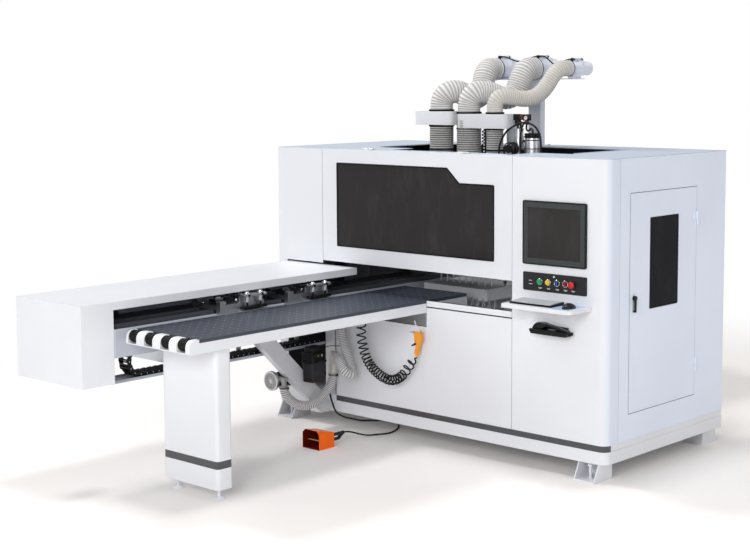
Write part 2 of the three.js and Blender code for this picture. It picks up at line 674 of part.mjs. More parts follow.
function gantryBridge() {
  const right = gantry.columnX + gantry.columnWidth;
  const outer = rectangle(gantry.plateX, baseTop + gap, right, gantry.bridgeTop);
  const passage = rectangle(
    gantry.plateX + gantry.plateWidth, gantry.lowerTop, gantry.columnX, gantry.bridgeBottom,
  );
  const under = rectangle(
    gantry.plateX + gantry.plateWidth, baseTop - overrun, gantry.columnX, gantry.lowerBottom,
  );
  const ring = extrude('y', outer, gantry.front, gantry.back, [passage]);
  const foot = extrude('y', under, gantry.front - overrun, gantry.back + overrun);
  return join(cut(ring, foot), ...[...upperRails, ...lowerRails].map(gantryRail));
}

// Clamp beam with its rails, rack and chain tray
function beamBody() {
  const body = span([beam.left, beam.front, beam.bottom], [beam.right, beam.back, beam.top]);
  const rails = [beam.railLeft, beam.railRight].map((x) => span(
    [x, beam.front + beam.rail, beam.top - weld],
    [x + beam.rail, beam.back - beam.rail, beam.top + beam.rail],
  ));
  const rackX = (beam.railLeft + beam.railRight) / 2;
  const gearRack = span(
    [rackX, beam.front + beam.rail, beam.top - weld],
    [rackX + beam.rackWidth, beam.back - beam.rail, beam.top + beam.rackHeight],
  );
  const bottom = beam.bottom - tray.depth;
  const right = beam.left + tray.width;
  const trayProfile = [
    [beam.left, bottom + tray.lip], [beam.left, bottom], [right, bottom], [right, bottom + tray.lip],
    [right - tray.plate, bottom + tray.lip], [right - tray.plate, bottom + tray.plate],
    [beam.left + tray.plate, bottom + tray.plate], [beam.left + tray.plate, bottom + tray.lip],
  ];
  const hangers = Array.from({ length: tray.hangers }, (_, index) => {
    const y = tray.hangerFirst + tray.hangerPitch * index;
    return span([beam.left, y, bottom], [beam.left + tray.plate, y + tray.hanger, beam.bottom + weld]);
  });
  const bore = span(
    [beam.left + beam.wall, beam.front - overrun, beam.bottom + beam.wall],
    [beam.right - beam.wall, beam.back + overrun, beam.top - beam.wall],
  );
  return join(cut(body, bore), ...rails, gearRack, ...hangers, extrude('y', trayProfile, tray.front, base.postSetback));
}

// Long folded cover over the beam; a closed box ends it, ribs carry it on the beam
function beamCover(boxStart, boxEnd, openEnd) {
  const wall = cabinet.sheet;
  const [sheetFrom, sheetTo] = order(boxEnd, openEnd);
  const profile = [
    [cover.left, beam.bottom], [cover.left, cover.top], [cover.right, cover.top],
    [cover.right, cover.top - cover.lip], [cover.right - wall, cover.top - cover.lip],
    [cover.right - wall, cover.top - wall], [cover.left + wall, cover.top - wall], [cover.left + wall, beam.bottom],
  ];
  const long = extrude('y', profile, sheetFrom - weld, sheetTo);
  const outward = Math.sign(boxStart - boxEnd);
  const box = span(
    [cover.left, Math.min(boxStart, boxEnd), cover.bottom],
    [cover.right, Math.max(boxStart, boxEnd), cover.top],
  );
  const [hollowFrom, hollowTo] = order(boxStart - outward * wall, boxEnd - outward * overrun);
  const hollow = span(
    [cover.left + wall, hollowFrom, cover.bottom + wall],
    [cover.right - wall, hollowTo, cover.top - wall],
  );
  const ribs = Array.from({ length: cover.ribs }, (_, index) => {
    const y = boxEnd - outward * cover.ribPitch * (index + 1 / 2);
    const side = cover.left + wall - weld;
    const top = cover.top - wall + weld;
    return extrude('y', [
      [side, top], [side, top - cover.ribDrop], [beam.left, beam.top + gap],
      [beam.left + cover.ribFoot, beam.top + gap], [side + cover.ribReach, top],
    ], y, y + cover.rib);
  }).filter((_, index) => Math.abs(cover.ribPitch * (index + 1)) < Math.abs(openEnd - boxEnd));
  return join(cut(box, hollow), long, ...ribs);
}

function dragChain() {
  const floor = beam.bottom - tray.depth + tray.plate + gap;
  const inner = chain.bend - chain.thickness;
  const centreZ = floor + chain.bend;
  const links = (from, to) => Math.round(Math.abs(to - from) / chain.link);
  const outside = [];
  const run = (from, to, z, sign) => {
    const count = links(from, to);
    for (let index = 0; index < count; index += 1) {
      const y = from + ((to - from) * index) / count;
      const step = Math.sign(to - from) * chain.notchWidth;
      outside.push([y, z], [y + step / 2, z + sign * chain.notch], [y + step, z]);
    }
  };
  run(chain.back, chain.front, floor, 1);
  const bendSteps = 10;
  for (let step = 0; step <= bendSteps; step += 1) {
    const angle = -Math.PI / 2 - (Math.PI * step) / bendSteps;
    outside.push([chain.front + chain.bend * Math.cos(angle), centreZ + chain.bend * Math.sin(angle)]);
  }
  run(chain.front + chain.notchWidth, chain.upperBack, floor + 2 * chain.bend, -1);
  outside.push([chain.upperBack, floor + 2 * chain.bend]);
  outside.push([chain.upperBack, floor + 2 * chain.bend - chain.thickness]);
  for (let step = 0; step <= bendSteps; step += 1) {
    const angle = Math.PI / 2 + (Math.PI * step) / bendSteps;
    outside.push([chain.front + inner * Math.cos(angle), centreZ + inner * Math.sin(angle)]);
  }
  outside.push([chain.back, floor + chain.thickness]);
  const x = beam.left + tray.plate + (tray.width - 2 * tray.plate - chain.width) / 2;
  const bracket = span(
    [chain.bracketLeft, chain.upperBack - weld, chain.bracketBottom],
    [chain.bracketRight, chain.upperBack + chain.bracket, floor + 2 * chain.bend],
  );
  return join(extrude('x', outside.reverse(), x, x + chain.width), bracket);
}

function beamBrace() {
  const top = beam.bottom - gap;
  const run = (drop) => drop / brace.slopeShare;
  const bottom = cabinet.groundGap;
  const lowerTop = brace.topY - brace.depthY;
  const meetZ = top + brace.topY * brace.slopeShare;
  const points = [
    [brace.topY, top], [lowerTop, top], [lowerTop + run(top - bottom), bottom], [-gap, bottom], [-gap, meetZ],
  ];
  return extrude('x', points, brace.left, brace.left + brace.width);
}

// Clamp units; each is built from its own front end, at the beam's top
function clampCarriage() {
  const railTop = beam.rail + gap;
  const saddleLeft = beam.railLeft - clamp.saddleSide;
  const inner = beam.right + gap;
  const jawRight = inner + clamp.jawWidth;
  const saddle = span([saddleLeft, 0, railTop], [inner, clamp.length, railTop + clamp.saddle]);
  const shoulders = [beam.railLeft, beam.railRight].flatMap((x) => [
    span([x - clamp.wall, 0, gap], [x - gap, clamp.length, railTop + weld]),
    span([x + beam.rail + gap, 0, gap], [x + beam.rail + clamp.wall, clamp.length, railTop + weld]),
  ]);
  const drop = span([inner, 0, -clamp.lowerJaw], [inner + clamp.wall, clamp.length, railTop + clamp.saddle]);
  const tie = span([inner - weld, 0, gap], [inner + weld, clamp.length, railTop + weld]);
  const lower = span([inner, clamp.plateStart, -clamp.lowerJaw], [jawRight, clamp.plateStart + clamp.plateLength, 0]);
  const back = span(
    [inner - clamp.wall, clamp.plateStart, railTop],
    [inner, clamp.plateStart + clamp.plateLength, clamp.plateTop],
  );
  const plate = span(
    [inner - clamp.wall, clamp.plateStart, clamp.plateTop - clamp.plate],
    [jawRight, clamp.plateStart + clamp.plateLength, clamp.plateTop],
  );
  const x = clampRodX();
  const cylinders = clampRodYs().map((y) => rod('z', [x, y, clamp.plateTop - clamp.plate - clamp.cylinderLength],
    clamp.cylinder, clamp.cylinderLength + weld));
  const bores = clampRodYs().map((y) => rod('z', [x, y, clamp.plateTop - clamp.plate - clamp.cylinderLength - overrun],
    running(clamp.rod, smallSides), clamp.cylinderLength + overrun, smallSides));
  const stop = span(
    [inner, 0, 0],
    [inner + clamp.jawWidth * (2 / 3), clamp.stopLength, clamp.stopHeight],
  );
  return cut(join(saddle, ...shoulders, drop, tie, lower, back, plate, ...cylinders, stop), ...bores);
}

function clampRodX() {
  return beam.right + gap + clamp.wall + (clamp.jawWidth - clamp.wall) / 2;
}

function clampRodYs() {
  return [clamp.plateStart + clamp.rodInset, clamp.plateStart + clamp.plateLength - clamp.rodInset];
}

function clampJaw() {
  const inner = beam.right + gap + clamp.wall + gap;
  const top = clamp.open + clamp.jawThickness;
  const bar = span(
    [inner, clamp.plateStart, clamp.open],
    [beam.right + gap + clamp.jawWidth, clamp.plateStart + clamp.plateLength, top],
  );
  const cylinderBottom = clamp.plateTop - clamp.plate - clamp.cylinderLength;
  const reach = cylinderBottom + clamp.rodEngaged - top + weld;
  const rods = clampRodYs().map((y) => rod('z', [clampRodX(), y, top - weld], clamp.rod, reach, smallSides));
  return join(bar, ...rods);
}

// Float table
function frameProfile(front, back) {
  const bottom = table.top - table.board - table.frame;
  return [[front, bottom], [back, bottom], [back, bottom + table.frame - gap], [front, bottom + table.frame - gap]];
}

function rollerPlace(index) {
  return [
    table.left + roller.first + roller.pitch * index,
    table.noseFront + roller.radius + roller.side,
    table.top - roller.radius + roller.proud,
  ];
}

function frontTableFrame() {
  const bottom = table.top - table.board - table.frame;
  const rail = extrude('x', frameProfile(table.boardFront - weld, table.inner), table.left, table.right);
  const nose = extrude('x', fillet([
    [table.boardFront, bottom], [table.boardFront, table.top], [table.noseFront, table.top, table.noseRadius],
    [table.noseFront, bottom, table.noseRadius / 4],
  ]), table.left - table.lip, table.right);
  const lip = span([table.left - table.lip, table.boardFront - weld, bottom], [table.left - gap, table.inner, table.top]);
  const tie = span(
    [table.left - table.lip, table.boardFront - weld, bottom],
    [table.left + weld, table.inner, bottom + table.frame - gap],
  );
  const pedestal = span(
    [table.left + (table.right - table.left - table.pedestalWidth) / 2, table.pedestalY, baseTop + gap],
    [table.right - (table.right - table.left - table.pedestalWidth) / 2, table.pedestalY + table.pedestalDepth,
      bottom + weld],
  );
  const cuts = [0, 1, 2, 3].flatMap((index) => {
    const [x, y, z] = rollerPlace(index);
    const under = z - roller.radius - roller.side;
    const well = span(
      [x - roller.side, table.noseFront - overrun, under],
      [x + roller.width + roller.side, y + roller.radius + roller.side, table.top + overrun],
    );
    const axleHole = rod('x', [x - roller.axleLength - gap, y, z], running(roller.axle, smallSides),
      roller.width + 2 * (roller.axleLength + gap), smallSides);
    return [well, axleHole];
  });
  return cut(join(rail, nose, lip, tie, pedestal), ...cuts);
}

function noseRoller() {
  const wheel = rod('x', [0, 0, 0], roller.radius, roller.width, roundSides);
  const axle = rod('x', [-roller.axleLength, 0, 0], roller.axle, roller.width + 2 * roller.axleLength, smallSides);
  return join(wheel, axle);
}

function frontTableBoard() {
  const body = span(
    [table.left, table.boardFront + gap, table.top - table.board],
    [table.right, table.inner, table.top],
  );
  const groove = span(
    [table.left - overrun, table.seamY, table.top - table.seamDepth],
    [table.right + overrun, table.seamY + table.seamWidth, table.top + overrun],
  );
  return cut(body, groove);
}

function legWithFeet(front, direction) {
  const top = table.top - table.board - table.frame - gap;
  const [y0, y1] = order(front, front + direction * leg.depth);
  const column = extrude('z', rectangle(leg.left, y0, leg.right, y1, leg.corner), leg.bottom, top);
  const y = (y0 + y1) / 2;
  const feet = [leg.left + leg.footInset, leg.right - leg.footInset].flatMap((x) => [
    rod('z', [x, y, 0], leg.footRadius, leg.footHeight, roundSides, leg.footRadius / 2),
    rod('z', [x, y, leg.footHeight - weld], leg.stemRadius, leg.bottom - leg.footHeight + 2 * weld, smallSides),
  ]);
  return join(column, ...feet);
}

function rearTableBody() {
  const bottom = table.top - table.board - table.frame;
  const top = span([table.left, rearTable.start, bottom], [table.right, rearTable.end, table.top]);
  const lip = span([table.left - table.lip, rearTable.start, bottom], [table.left + weld, rearTable.end, table.top]);
  const margin = (table.right - table.left - table.pedestalWidth) / 2;
  const pedestal = span(
    [table.left + margin, rearTable.pedestalY, baseTop + gap],
    [table.right - margin, rearTable.pedestalY + table.pedestalDepth, bottom + weld],
  );
  const rearLeg = legWithFeet(rearTable.legY, 1).translate(0, 0, gap + weld);
  const settled = keepInside(
    rearLeg,
    span([leg.left - leg.depth, rearTable.legY - leg.depth, weld + gap],
      [leg.right + leg.depth, rearTable.legY + 2 * leg.depth, bottom + weld]),
  );
  const pads = [leg.left + leg.footInset, leg.right - leg.footInset].map((x) => rod('z',
    [x, rearTable.legY + leg.depth / 2, 0], leg.footRadius, leg.footHeight, roundSides, leg.footRadius / 2));
  return join(top, lip, pedestal, settled, ...pads);
}

// Lubrication pump on the brace, blower below the beam
function lubricationPump() {
  const x0 = brace.left + brace.width + gap;
  const x1 = x0 + pump.width;
  const y1 = pump.front + pump.depth;
  const cap = extrude('z', rectangle(x0, pump.front, x1, y1, pump.corner, 2), pump.split, pump.top - pump.neck);
  const neck = extrude('z', rectangle(x0 + pump.neckInset, pump.front + pump.neckInset, x1 - pump.neckInset,
    y1 - pump.neckInset, pump.corner, 2), pump.top - pump.neck - weld, pump.top);
  const side = pump.tankInset;
  const tank = extrude('z', rectangle(x0 + side, pump.front + side, x1 - side, y1 - side, pump.corner, 2),
    pump.bottom, pump.split + weld);
  const rim = extrude('z', rectangle(x0, pump.front - side, x1 + side, y1 + side, pump.corner, 2),
    pump.split - side, pump.split + 2 * side);
  const bracket = span(
    [x0, pump.front + 2 * side, pump.bottom + side],
    [x0 + 2 * side, pump.front + 2 * side + pump.bracket, pump.bottom + side + pump.bracket],
  );
  return join(cap, neck, tank, rim, bracket);
}

function suctionBlower() {
  const { x, front, z } = blower;
  const cap = rod('y', [x, front, z], blower.capRadius, blower.cap);
  const body = rod('y', [x, front + blower.cap - weld, z], blower.radius, blower.length);
  const tail = rod('y', [x, front + blower.cap + blower.length - 2 * weld, z], blower.tail, blower.tailLength);
  const outlet = rod('x', [x, blower.outletY, blower.outletZ], blower.outletRadius, blower.outletX - x + blower.outletRadius);
  const elbow = rod('z', [blower.outletX, blower.outletY, suctionStart[2] + hoseGap], blower.outletRadius,
    blower.outletZ - suctionStart[2]);
  const flange = rod('z', [blower.outletX, blower.outletY, suctionStart[2] + hoseGap], hose.radius - hose.rib,
    blower.flange);
  const bracket = span(
    [x, blower.bracketY, blower.bracketZ],
    [brace.left - gap, blower.bracketY + blower.bracket, blower.bracketZ + blower.bracketHeight],
  );
  return join(cap, body, tail, outlet, elbow, flange, bracket);
}

const suctionStart = [blower.outletX, blower.outletY, 345];
const suctionRoute = [
  suctionStart, [484, -432, 332], [484, -429, 316], [485, -423, 298], [490, -390, 252], [500, -345, 216],
  [520, -298, 195], [545, -253, 195], [562, -203, 211], [575, -152, 247], [588, -108, 293], [598, -80, 345],
  [fitting.x, fitting.y, 375], [fitting.x, fitting.y, fitting.bottom - hoseGap],
];
const drainRoute = [
  [672, -62, 804.3], [672, -62, 780], [675, -62, 742], [679, -62, 687], [693, -62, 618], [722, -64, 559],
  [762, -72, 503], [797, -86, 464], [826, -108, 438], [832, -140, 432], [812, -165, 450], [775, -164, 480],
  [732, -148, 504], [692, -128, 522],
];

function yFitting() {
  const lean = fitting.lean;
  const main = smoothPath([
    [fitting.x, fitting.y, fitting.bottom], [fitting.x, fitting.y, fitting.bottom + fitting.radius],
    [fitting.x + lean / 2, fitting.y, (fitting.bottom + fitting.top) / 2], [fitting.x + lean, fitting.y, fitting.top],
  ]);
  const end = new THREE.Vector3(...drainRoute[drainRoute.length - 1]);
  const heading = new THREE.Vector3(...drainRoute[drainRoute.length - 2]).sub(end).normalize().negate();
  const branch = smoothPath([
    end.clone().addScaledVector(heading, weld).toArray(),
    end.clone().addScaledVector(heading, fitting.radius).toArray(),
    [fitting.x + lean / 2, fitting.y, (fitting.bottom + fitting.top) / 2],
  ]);
  const collar = rod('z', [fitting.x, fitting.y, fitting.bottom], fitting.radius + fitting.collar, fitting.collarLength);
  return join(cord(main, fitting.radius, 5, roundSides), cord(branch, fitting.radius - fitting.collar, 4, roundSides), collar);
}

// Air gun, drawn from the middle of its top
function gunBody() {
  const { width, height, thickness } = gun;
  const profile = fillet(gunShares.map(([x, z]) => [x * width, z * height, gun.corner]), 2);
  const body = extrude('y', profile, -thickness / 2, thickness / 2);
  const boss = rod('y', [gun.eyeX, -gun.wire, -gun.eyeDrop], gun.boss, gun.wire * 2, smallSides);
  const eyeHole = rod('y', [gun.eyeX, -thickness, -gun.eyeDrop], gun.eye, 2 * thickness, smallSides);
  const slit = span(
    [-width, -gun.trigger / 2 - gap, triggerPlace[2] - gun.height / 4],
    [triggerPlace[0] + gun.trigger, gun.trigger / 2 + gap, triggerPlace[2] + gun.trigger],
  );
  const nut = rod('z', [nutX, 0, -height - curl.tube * 2], gun.nut, curl.tube * 4, smallSides);
  const pinHole = rod('y', [triggerPlace[0], -thickness, triggerPlace[2]], running(gun.pin, smallSides), 2 * thickness,
    smallSides);
  return join(cut(join(body, boss), eyeHole, slit, pinHole), nut);
}

const triggerPlace = [gunShares[12][0] * gun.width + gun.trigger, 0, gunShares[12][1] * gun.height];
const nutX = (gunShares[8][0] + gunShares[9][0]) / 2 * gun.width;

function gunTrigger() {
  const half = gun.trigger / 2;
  const outline = triggerShares.map(([x, z]) => [x * gun.width, z * gun.height, half / 2]);
  const lever = extrude('y', fillet(outline, 2), -half, half);
  const pin = rod('y', [0, -gun.thickness / 2, 0], gun.pin, gun.thickness, smallSides);
  return join(lever, pin);
}

const curlRoute = [
  [872, -62, 893], [874, -62, 852], [870, -62, 805], [866, -62, 762], [862, -62, 720], [865, -62, 672],
  [880, -62, 619], [897, -62, 567], [925, -62, 522], [962, -62, 485], [1008, -62, 454], [1063, -62, 430],
  [1135, -62, 419], [1198, -62, 438], [1243, -61, 471], [1279, -59, 514], [1308, -56, 552],
  [1336, -52, 576], [gun.x + nutX, gun.y, gun.top - gun.height - curl.radius / 2],
  [gun.x + nutX, gun.y, gun.top - gun.height - curl.tube * 2 - gun.wire - hoseGap - gap],
];

// Reads a table of [place, value] pairs between its rows
function alongTable(table, place) {
  const row = table.findIndex(([start], index) => index > 0 && place <= start);
  const [[p0, v0], [p1, v1]] = [table[row - 1], table[row]];
  return v0 + ((v1 - v0) * (place - p0)) / (p1 - p0);
}

function curlyHose() {
  const axis = smoothPath(curlRoute);
  const steps = curl.turns * curl.stepsPerTurn;
  const frames = axis.computeFrenetFrames(steps, false);
  const centres = Array.from({ length: steps + 1 }, (_, index) => {
    const turned = index / steps;
    const share = alongTable(curlShares, turned);
    const frame = Math.round(share * steps);
    const swell = Math.min(1, Math.min(turned, 1 - turned) / curl.ease);
    const angle = (2 * Math.PI * index) / curl.stepsPerTurn;
    return axis.getPointAt(share)
      .addScaledVector(frames.normals[frame], curl.radius * swell * Math.cos(angle))
      .addScaledVector(frames.binormals[frame], curl.radius * swell * Math.sin(angle));
  });
  let least = Infinity;
  const skip = curl.stepsPerTurn / 2;
  for (let a = 0; a < centres.length; a += 1) {
    for (let b = a + skip; b < centres.length; b += 1) {
      least = Math.min(least, centres[a].distanceTo(centres[b]) - 2 * curl.tube);
    }
  }
  console.log(`curly hose, least gap to itself: ${least.toFixed(2)} mm`);
  const path = new THREE.CatmullRomCurve3(centres, false, 'centripetal');
  return skin(ringsAlong(path, new Array(steps + 1).fill(curl.tube), curl.sides));
}

// Foot pedal
function pedalHousing() {
  const { width, length, height, wall, chamfer } = pedal;
  const profile = [
    [0, 0], [width, 0], [width, height - chamfer], [width - chamfer, height], [chamfer, height],
    [0, height - chamfer],
  ];
  const underSlope = (drop) => extrude('x', [
    [-overrun, -overrun], [length, -overrun], [length, pedal.backHeight - drop], [-overrun, height - drop],
  ], -overrun, width + overrun);
  const outer = keepInside(extrude('y', profile, 0, length), underSlope(0));
  const hollow = keepInside(extrude('y', inset(profile, wall), -overrun, length - wall), underSlope(wall));
  const floorPlate = span([wall - weld / 2, wall, 0], [width - wall + weld / 2, length, pedal.basePlate]);
  const ears = [0, 1].map((side) => {
    const x = side ? width / 2 + pedal.plateWidth / 2 + gap : width / 2 - pedal.plateWidth / 2 - gap - wall * 2;
    return span([x, length - pedal.hingeInset * 2, pedal.basePlate - weld],
      [x + wall * 2, length - wall + weld / 2, pedal.hingeHeight + pedal.hingeInset / 2]);
  });
  const pinHole = rod('x', [wall, length - pedal.hingeInset, pedal.hingeHeight], running(pedal.pin, smallSides),
    width - 2 * wall, smallSides);
  const tip = [pedal.glandX, length - weld + pedal.glandLength, pedal.glandZ];
  const glands = [-1, 1].map((side) => {
    const start = [tip[0], length - weld, tip[2] - pedal.glandSpread * (1 - side) / 2];
    const bend = [start[0], length + pedal.glandStart, start[2]];
    const before = [tip[0], tip[1] - pedal.glandRadius, tip[2]];
    return cord(smoothPath([start, bend, before, tip]), pedal.glandRadius, 4);
  });
  return join(cut(join(cut(outer, hollow), floorPlate, ...ears), pinHole), ...glands);
}

function pedalPlate() {
  const tilt = THREE.MathUtils.degToRad(pedal.tiltDegrees);
  const plate = span(
    [-pedal.plateWidth / 2, -pedal.plateLength + pedal.hingeInset / 2, 0],
    [pedal.plateWidth / 2, pedal.pin, pedal.plateThickness],
  ).rotateX(-tilt);
  const pin = rod('x', [-pedal.plateWidth / 2 - gap - pedal.wall * 2, 0, 0], pedal.pin,
    pedal.plateWidth + 2 * (gap + pedal.wall * 2), smallSides);
  return join(plate, pin);
}

const cableStart = [
  pedal.x + pedal.glandX, pedal.y + pedal.length - weld + pedal.glandLength + gap, pedal.glandZ,
];
const cableEnd = [500, -16, 300];
const cableRoute = [
  cableStart, [cableStart[0], cableStart[1] + 14, cableStart[2]], [938, -250, 68], [937, -170, 40], [937, -90, 16],
  [950, -5, 7], [984, 72, 7], [966, 168, 7], [892, 284, 7], [800, 348, 7], [712, 334, 7], [640, 280, 7],
  [606, 200, 16], [595, 120, 41], [593, 60, 60], [584, 16, 82], [570, -10, 105], [556, -18, 130], [540, -16, 160],
  [522, -16, 200], [508, -16, 250], cableEnd,
];

// Control column pieces, built from the column's left edge
function monitorBody() {
  const { width, height, proud, depth, bezelSide, bezelEnd, recess, corner } = monitor;
  const bezel = extrude('y', rectangle(0, 0, width, height, corner), -proud, -gap);
  const housing = span(
    [bezelSide + gap, -gap - weld, bezelEnd + gap],
    [width - bezelSide - gap, depth, height - bezelEnd - gap],
  );
  const screen = span(
    [bezelSide, -proud - overrun, bezelEnd],
    [width - bezelSide, -proud + recess, height - bezelEnd],
  );
  return cut(join(bezel, housing), screen);
}

function buttonX(index) {
  return buttons.width * buttonShares[index];
}

function buttonPanel() {
  const plate = extrude('y', rectangle(0, 0, buttons.width, buttons.height, buttons.corner), -buttons.thickness - gap, -gap);
  const rings = buttonShares.map((_, index) => rod('y',
    [buttonX(index), -buttons.thickness - gap - buttons.collarHeight, buttons.row],
    buttons.capRadius + buttons.collar, buttons.collarHeight + weld));
  const wells = buttonShares.map((_, index) => rod('y',
    [buttonX(index), -buttons.thickness - gap - buttons.collarHeight - overrun, buttons.row],
    running(buttons.capRadius, roundSides), buttons.collarHeight + overrun));
  const holes = buttonShares.map((_, index) => rod('y',
    [buttonX(index), -buttons.thickness - overrun, buttons.row], running(buttons.stemRadius, smallSides),
    buttons.thickness + 2 * overrun, smallSides));
  const lamp = rod('y', [buttons.lampX, -buttons.thickness - gap - buttons.collarHeight, buttons.lampY],
    buttons.lampRadius, buttons.collarHeight + weld, smallSides);
  return join(cut(join(plate, ...rings), ...wells, ...holes), lamp);
}

function stem() {
  return rod('y', [0, -weld, 0], buttons.stemRadius, buttons.stemLength, smallSides);
}

function pushButton() {
  const lift = buttons.travel + buttons.collarHeight / 2;
  return join(rod('y', [0, -buttons.capHeight - lift, 0], buttons.capRadius, buttons.capHeight), stem()
    .translate(0, -lift, 0));
}

function selectorKnob() {
  const disc = rod('y', [0, -buttons.collarHeight - gap * 2, 0], buttons.capRadius, buttons.collarHeight);
  const bar = span(
    [-buttons.barWidth / 2, -buttons.collarHeight - buttons.barHeight, -buttons.capRadius * (5 / 6)],
    [buttons.barWidth / 2, -buttons.collarHeight + weld, buttons.capRadius * (5 / 6)],
  );
  return join(disc, bar, stem());
}

function emergencyStop() {
  const r = buttons.stopRadius;
  const h = buttons.stopHeight;
  const lift = buttons.travel + buttons.collarHeight + gap;
  const dome = new THREE.LatheGeometry([
    [0, 0], [r * 0.6, 0], [r, h * 0.35], [r, h * 0.6], [r * 0.75, h * 0.9], [0, h],
  ].map(([x, y]) => new THREE.Vector2(x, y)), roundSides);
  dome.rotateX(Math.PI).translate(0, -lift, 0);
  return join(dome, stem().scale(1, 1, 1).translate(0, -lift, 0));
}

function keyboardShelf() {
  const y0 = -shelf.depth;
  const plan = fillet([
    [0, y0, shelf.corner / 4], [shelf.width, y0, shelf.corner], [shelf.width, -gap], [0, -gap],
  ]);
  const tray2 = foldedPanel('z', plan, shelf.top, -1);
  const rim = span([0, -gap - cabinet.sheet, shelf.top - weld], [shelf.width, -gap, shelf.top + shelf.rimHeight]);
  return join(tray2, rim);
}

function keyboardBody() {
  const { width, depth, height, front, rows } = keyboard;
  const body = extrude('x', [[0, 0], [depth, 0], [depth, height], [0, front]], 0, width);
  const pitch = depth / (rows + 1);
  const slope = (height - front) / depth;
  const bars = Array.from({ length: rows }, (_, row) => {
    const y = pitch * (row + 1 / 2);
    const z = front + slope * y;
    return span([pitch / 2, y, z - weld], [width - pitch / 2, y + pitch * keyboard.rowShare, z + keyboard.rowHeight]);
  });
  return join(body, ...bars);
}

function mouseBody() {
  const ball = new THREE.SphereGeometry(1, roundSides, smallSides);
  ball.scale(mouse.width / 2, mouse.length / 2, mouse.height);
  return keepInside(ball, span([-mouse.width, -mouse.length, 0], [mouse.width, mouse.length, mouse.height * 2]));
}

function scannerHolder() {
  const { width, height, depth, wall } = holder;
  const profile = [
    [-gap, 0], [-gap, height], [-gap - wall, height], [-gap - wall, wall], [-depth + wall, wall],
    [-depth + wall, height / 2], [-depth, height / 2], [-depth, 0],
  ];
  const channel = extrude('x', profile.reverse(), 0, width);
  const ends = [0, width - wall].map((x) => span([x, -depth, 0], [x + wall, -gap, height / 2]));
  return join(channel, ...ends);
}

function scannerBody() {
  const { width, headLength, headHeight, body, handle, thickness, nose } = scanner;
  const profile = fillet([
    [0, 0, 6], [headLength, 0], [width, 0, 12], [width, handle, 12], [headLength + body, handle, 10],
    [headLength, headHeight, 10], [nose, headHeight, 8], [0, headHeight - nose, 8],
  ], 3);
  return extrude('y', profile, 0, thickness);
}

// Dust system
function dustManifold() {
  const plateTop = duct.z - ductRadius[0] + duct.step + weld;
  const plateBottom = plateTop - duct.plate;
  const pipes = ductX.flatMap((x, index) => {
    const r = ductRadius[index] - duct.step;
    const z = duct.z + r + duct.cylinderLift;
    const y = duct.front + duct.cylinderInset;
    const feet = [y, y + duct.cylinderLength - duct.foot].map((start) => span(
      [x - duct.foot, start, duct.z + r - weld * 2],
      [x + duct.foot, start + duct.foot, z],
    ));
    return [
      rod('y', [x, duct.front, duct.z], r, duct.length),
      rod('y', [x, duct.front, duct.z], ductRadius[index], duct.collarLength),
      span([x - duct.saddle, duct.plateY, plateTop - weld], [x + duct.saddle, duct.plateY + duct.plateDepth, duct.z - r / 2]),
      rod('y', [x, y, z], duct.cylinder, duct.cylinderLength, smallSides),
      ...feet,
    ];
  });
  const plate = span(
    [ductX[0] - duct.plateOver, duct.plateY, plateBottom],
    [ductX[2] + duct.plateOver, duct.plateY + duct.plateDepth, plateTop],
  );
  const column = span(
    [post.left, post.front, cabinet.height + gap],
    [post.left + post.width, post.front + post.depth, plateBottom + weld],
  );
  const foot = span(
    [post.left - post.foot, post.front - post.foot, cabinet.height + gap],
    [post.left + post.width + post.foot, post.front + post.depth + post.foot, cabinet.height + gap + post.footThickness],
  );
  const bores = ductX.map((x, index) => rod('y', [x, duct.front - overrun, duct.z],
    ductRadius[index] - duct.step - duct.wall, duct.length + 2 * overrun));
  return cut(join(...pipes, plate, column, foot), ...bores);
}

const dustMiddles = [
  [[1108, 502, 2262], [1116, 507, 2293], [1137, 522, 2322], [1160, 556, 2336], [1177, 600, 2333], [1189, 650, 2316],
    [1198, 700, 2298], [1206, 748, 2292], [1212, 790, 2312], [1211, 818, 2358], [1206, 838, 2408], [1201, 858, 2446],
    [1192, 888, 2474], [1181, 925, 2488]],
  [[1311, 553, 2265], [1321, 557, 2294], [1339, 572, 2321], [1360, 605, 2334], [1384, 650, 2331], [1406, 700, 2314],
    [1430, 745, 2296], [1455, 785, 2292], [1478, 814, 2310], [1494, 835, 2348], [1503, 851, 2392], [1510, 870, 2434],
    [1514, 896, 2468], [1513, 930, 2486]],
  [[1533, 553, 2258], [1545, 560, 2286], [1564, 580, 2303], [1585, 615, 2305], [1608, 655, 2297], [1636, 700, 2289],
    [1668, 745, 2289], [1700, 785, 2306], [1731, 814, 2340], [1756, 838, 2385], [1774, 862, 2432], [1787, 892, 2468],
    [1796, 928, 2486]],
];

function dustHoseRoute(index) {
  const [x, y] = [riser.x[index], riser.y[index]];
  const endX = ductX[index];
  const endY = duct.front - hoseGap;
  const z = rack.top[index ? 1 : 0];
  const rise = [[x, y, riser.bottom], [x, y, riser.bottom + 120], [x, y, z - 60], [x, y, z - 20], [x, y, z + 16]];
  const finish = [[endX, endY - 44, duct.z], [endX, endY - 14, duct.z], [endX, endY, duct.z]];
  return [...rise, ...dustMiddles[index], ...finish];
}

// Upper head carriage with its hose rack, riding on the bridge
function railBlock(x, zCentre, bottomY) {
  const block = span(
    [x, bottomY, zCentre - head.blockHeight / 2],
    [x + head.blockLength, gantry.front - gap, zCentre + head.blockHeight / 2],
  );
  const channel = span(
    [x - overrun, gantry.front - gantry.rail - gap, zCentre - gantry.rail / 2 - gap],
    [x + head.blockLength + overrun, gantry.front + overrun, zCentre + gantry.rail / 2 + gap],
  );
  return cut(block, channel);
}

const plateBack = gantry.front - gantry.rail - 2 * gap;
const plateFront = plateBack - head.plate;

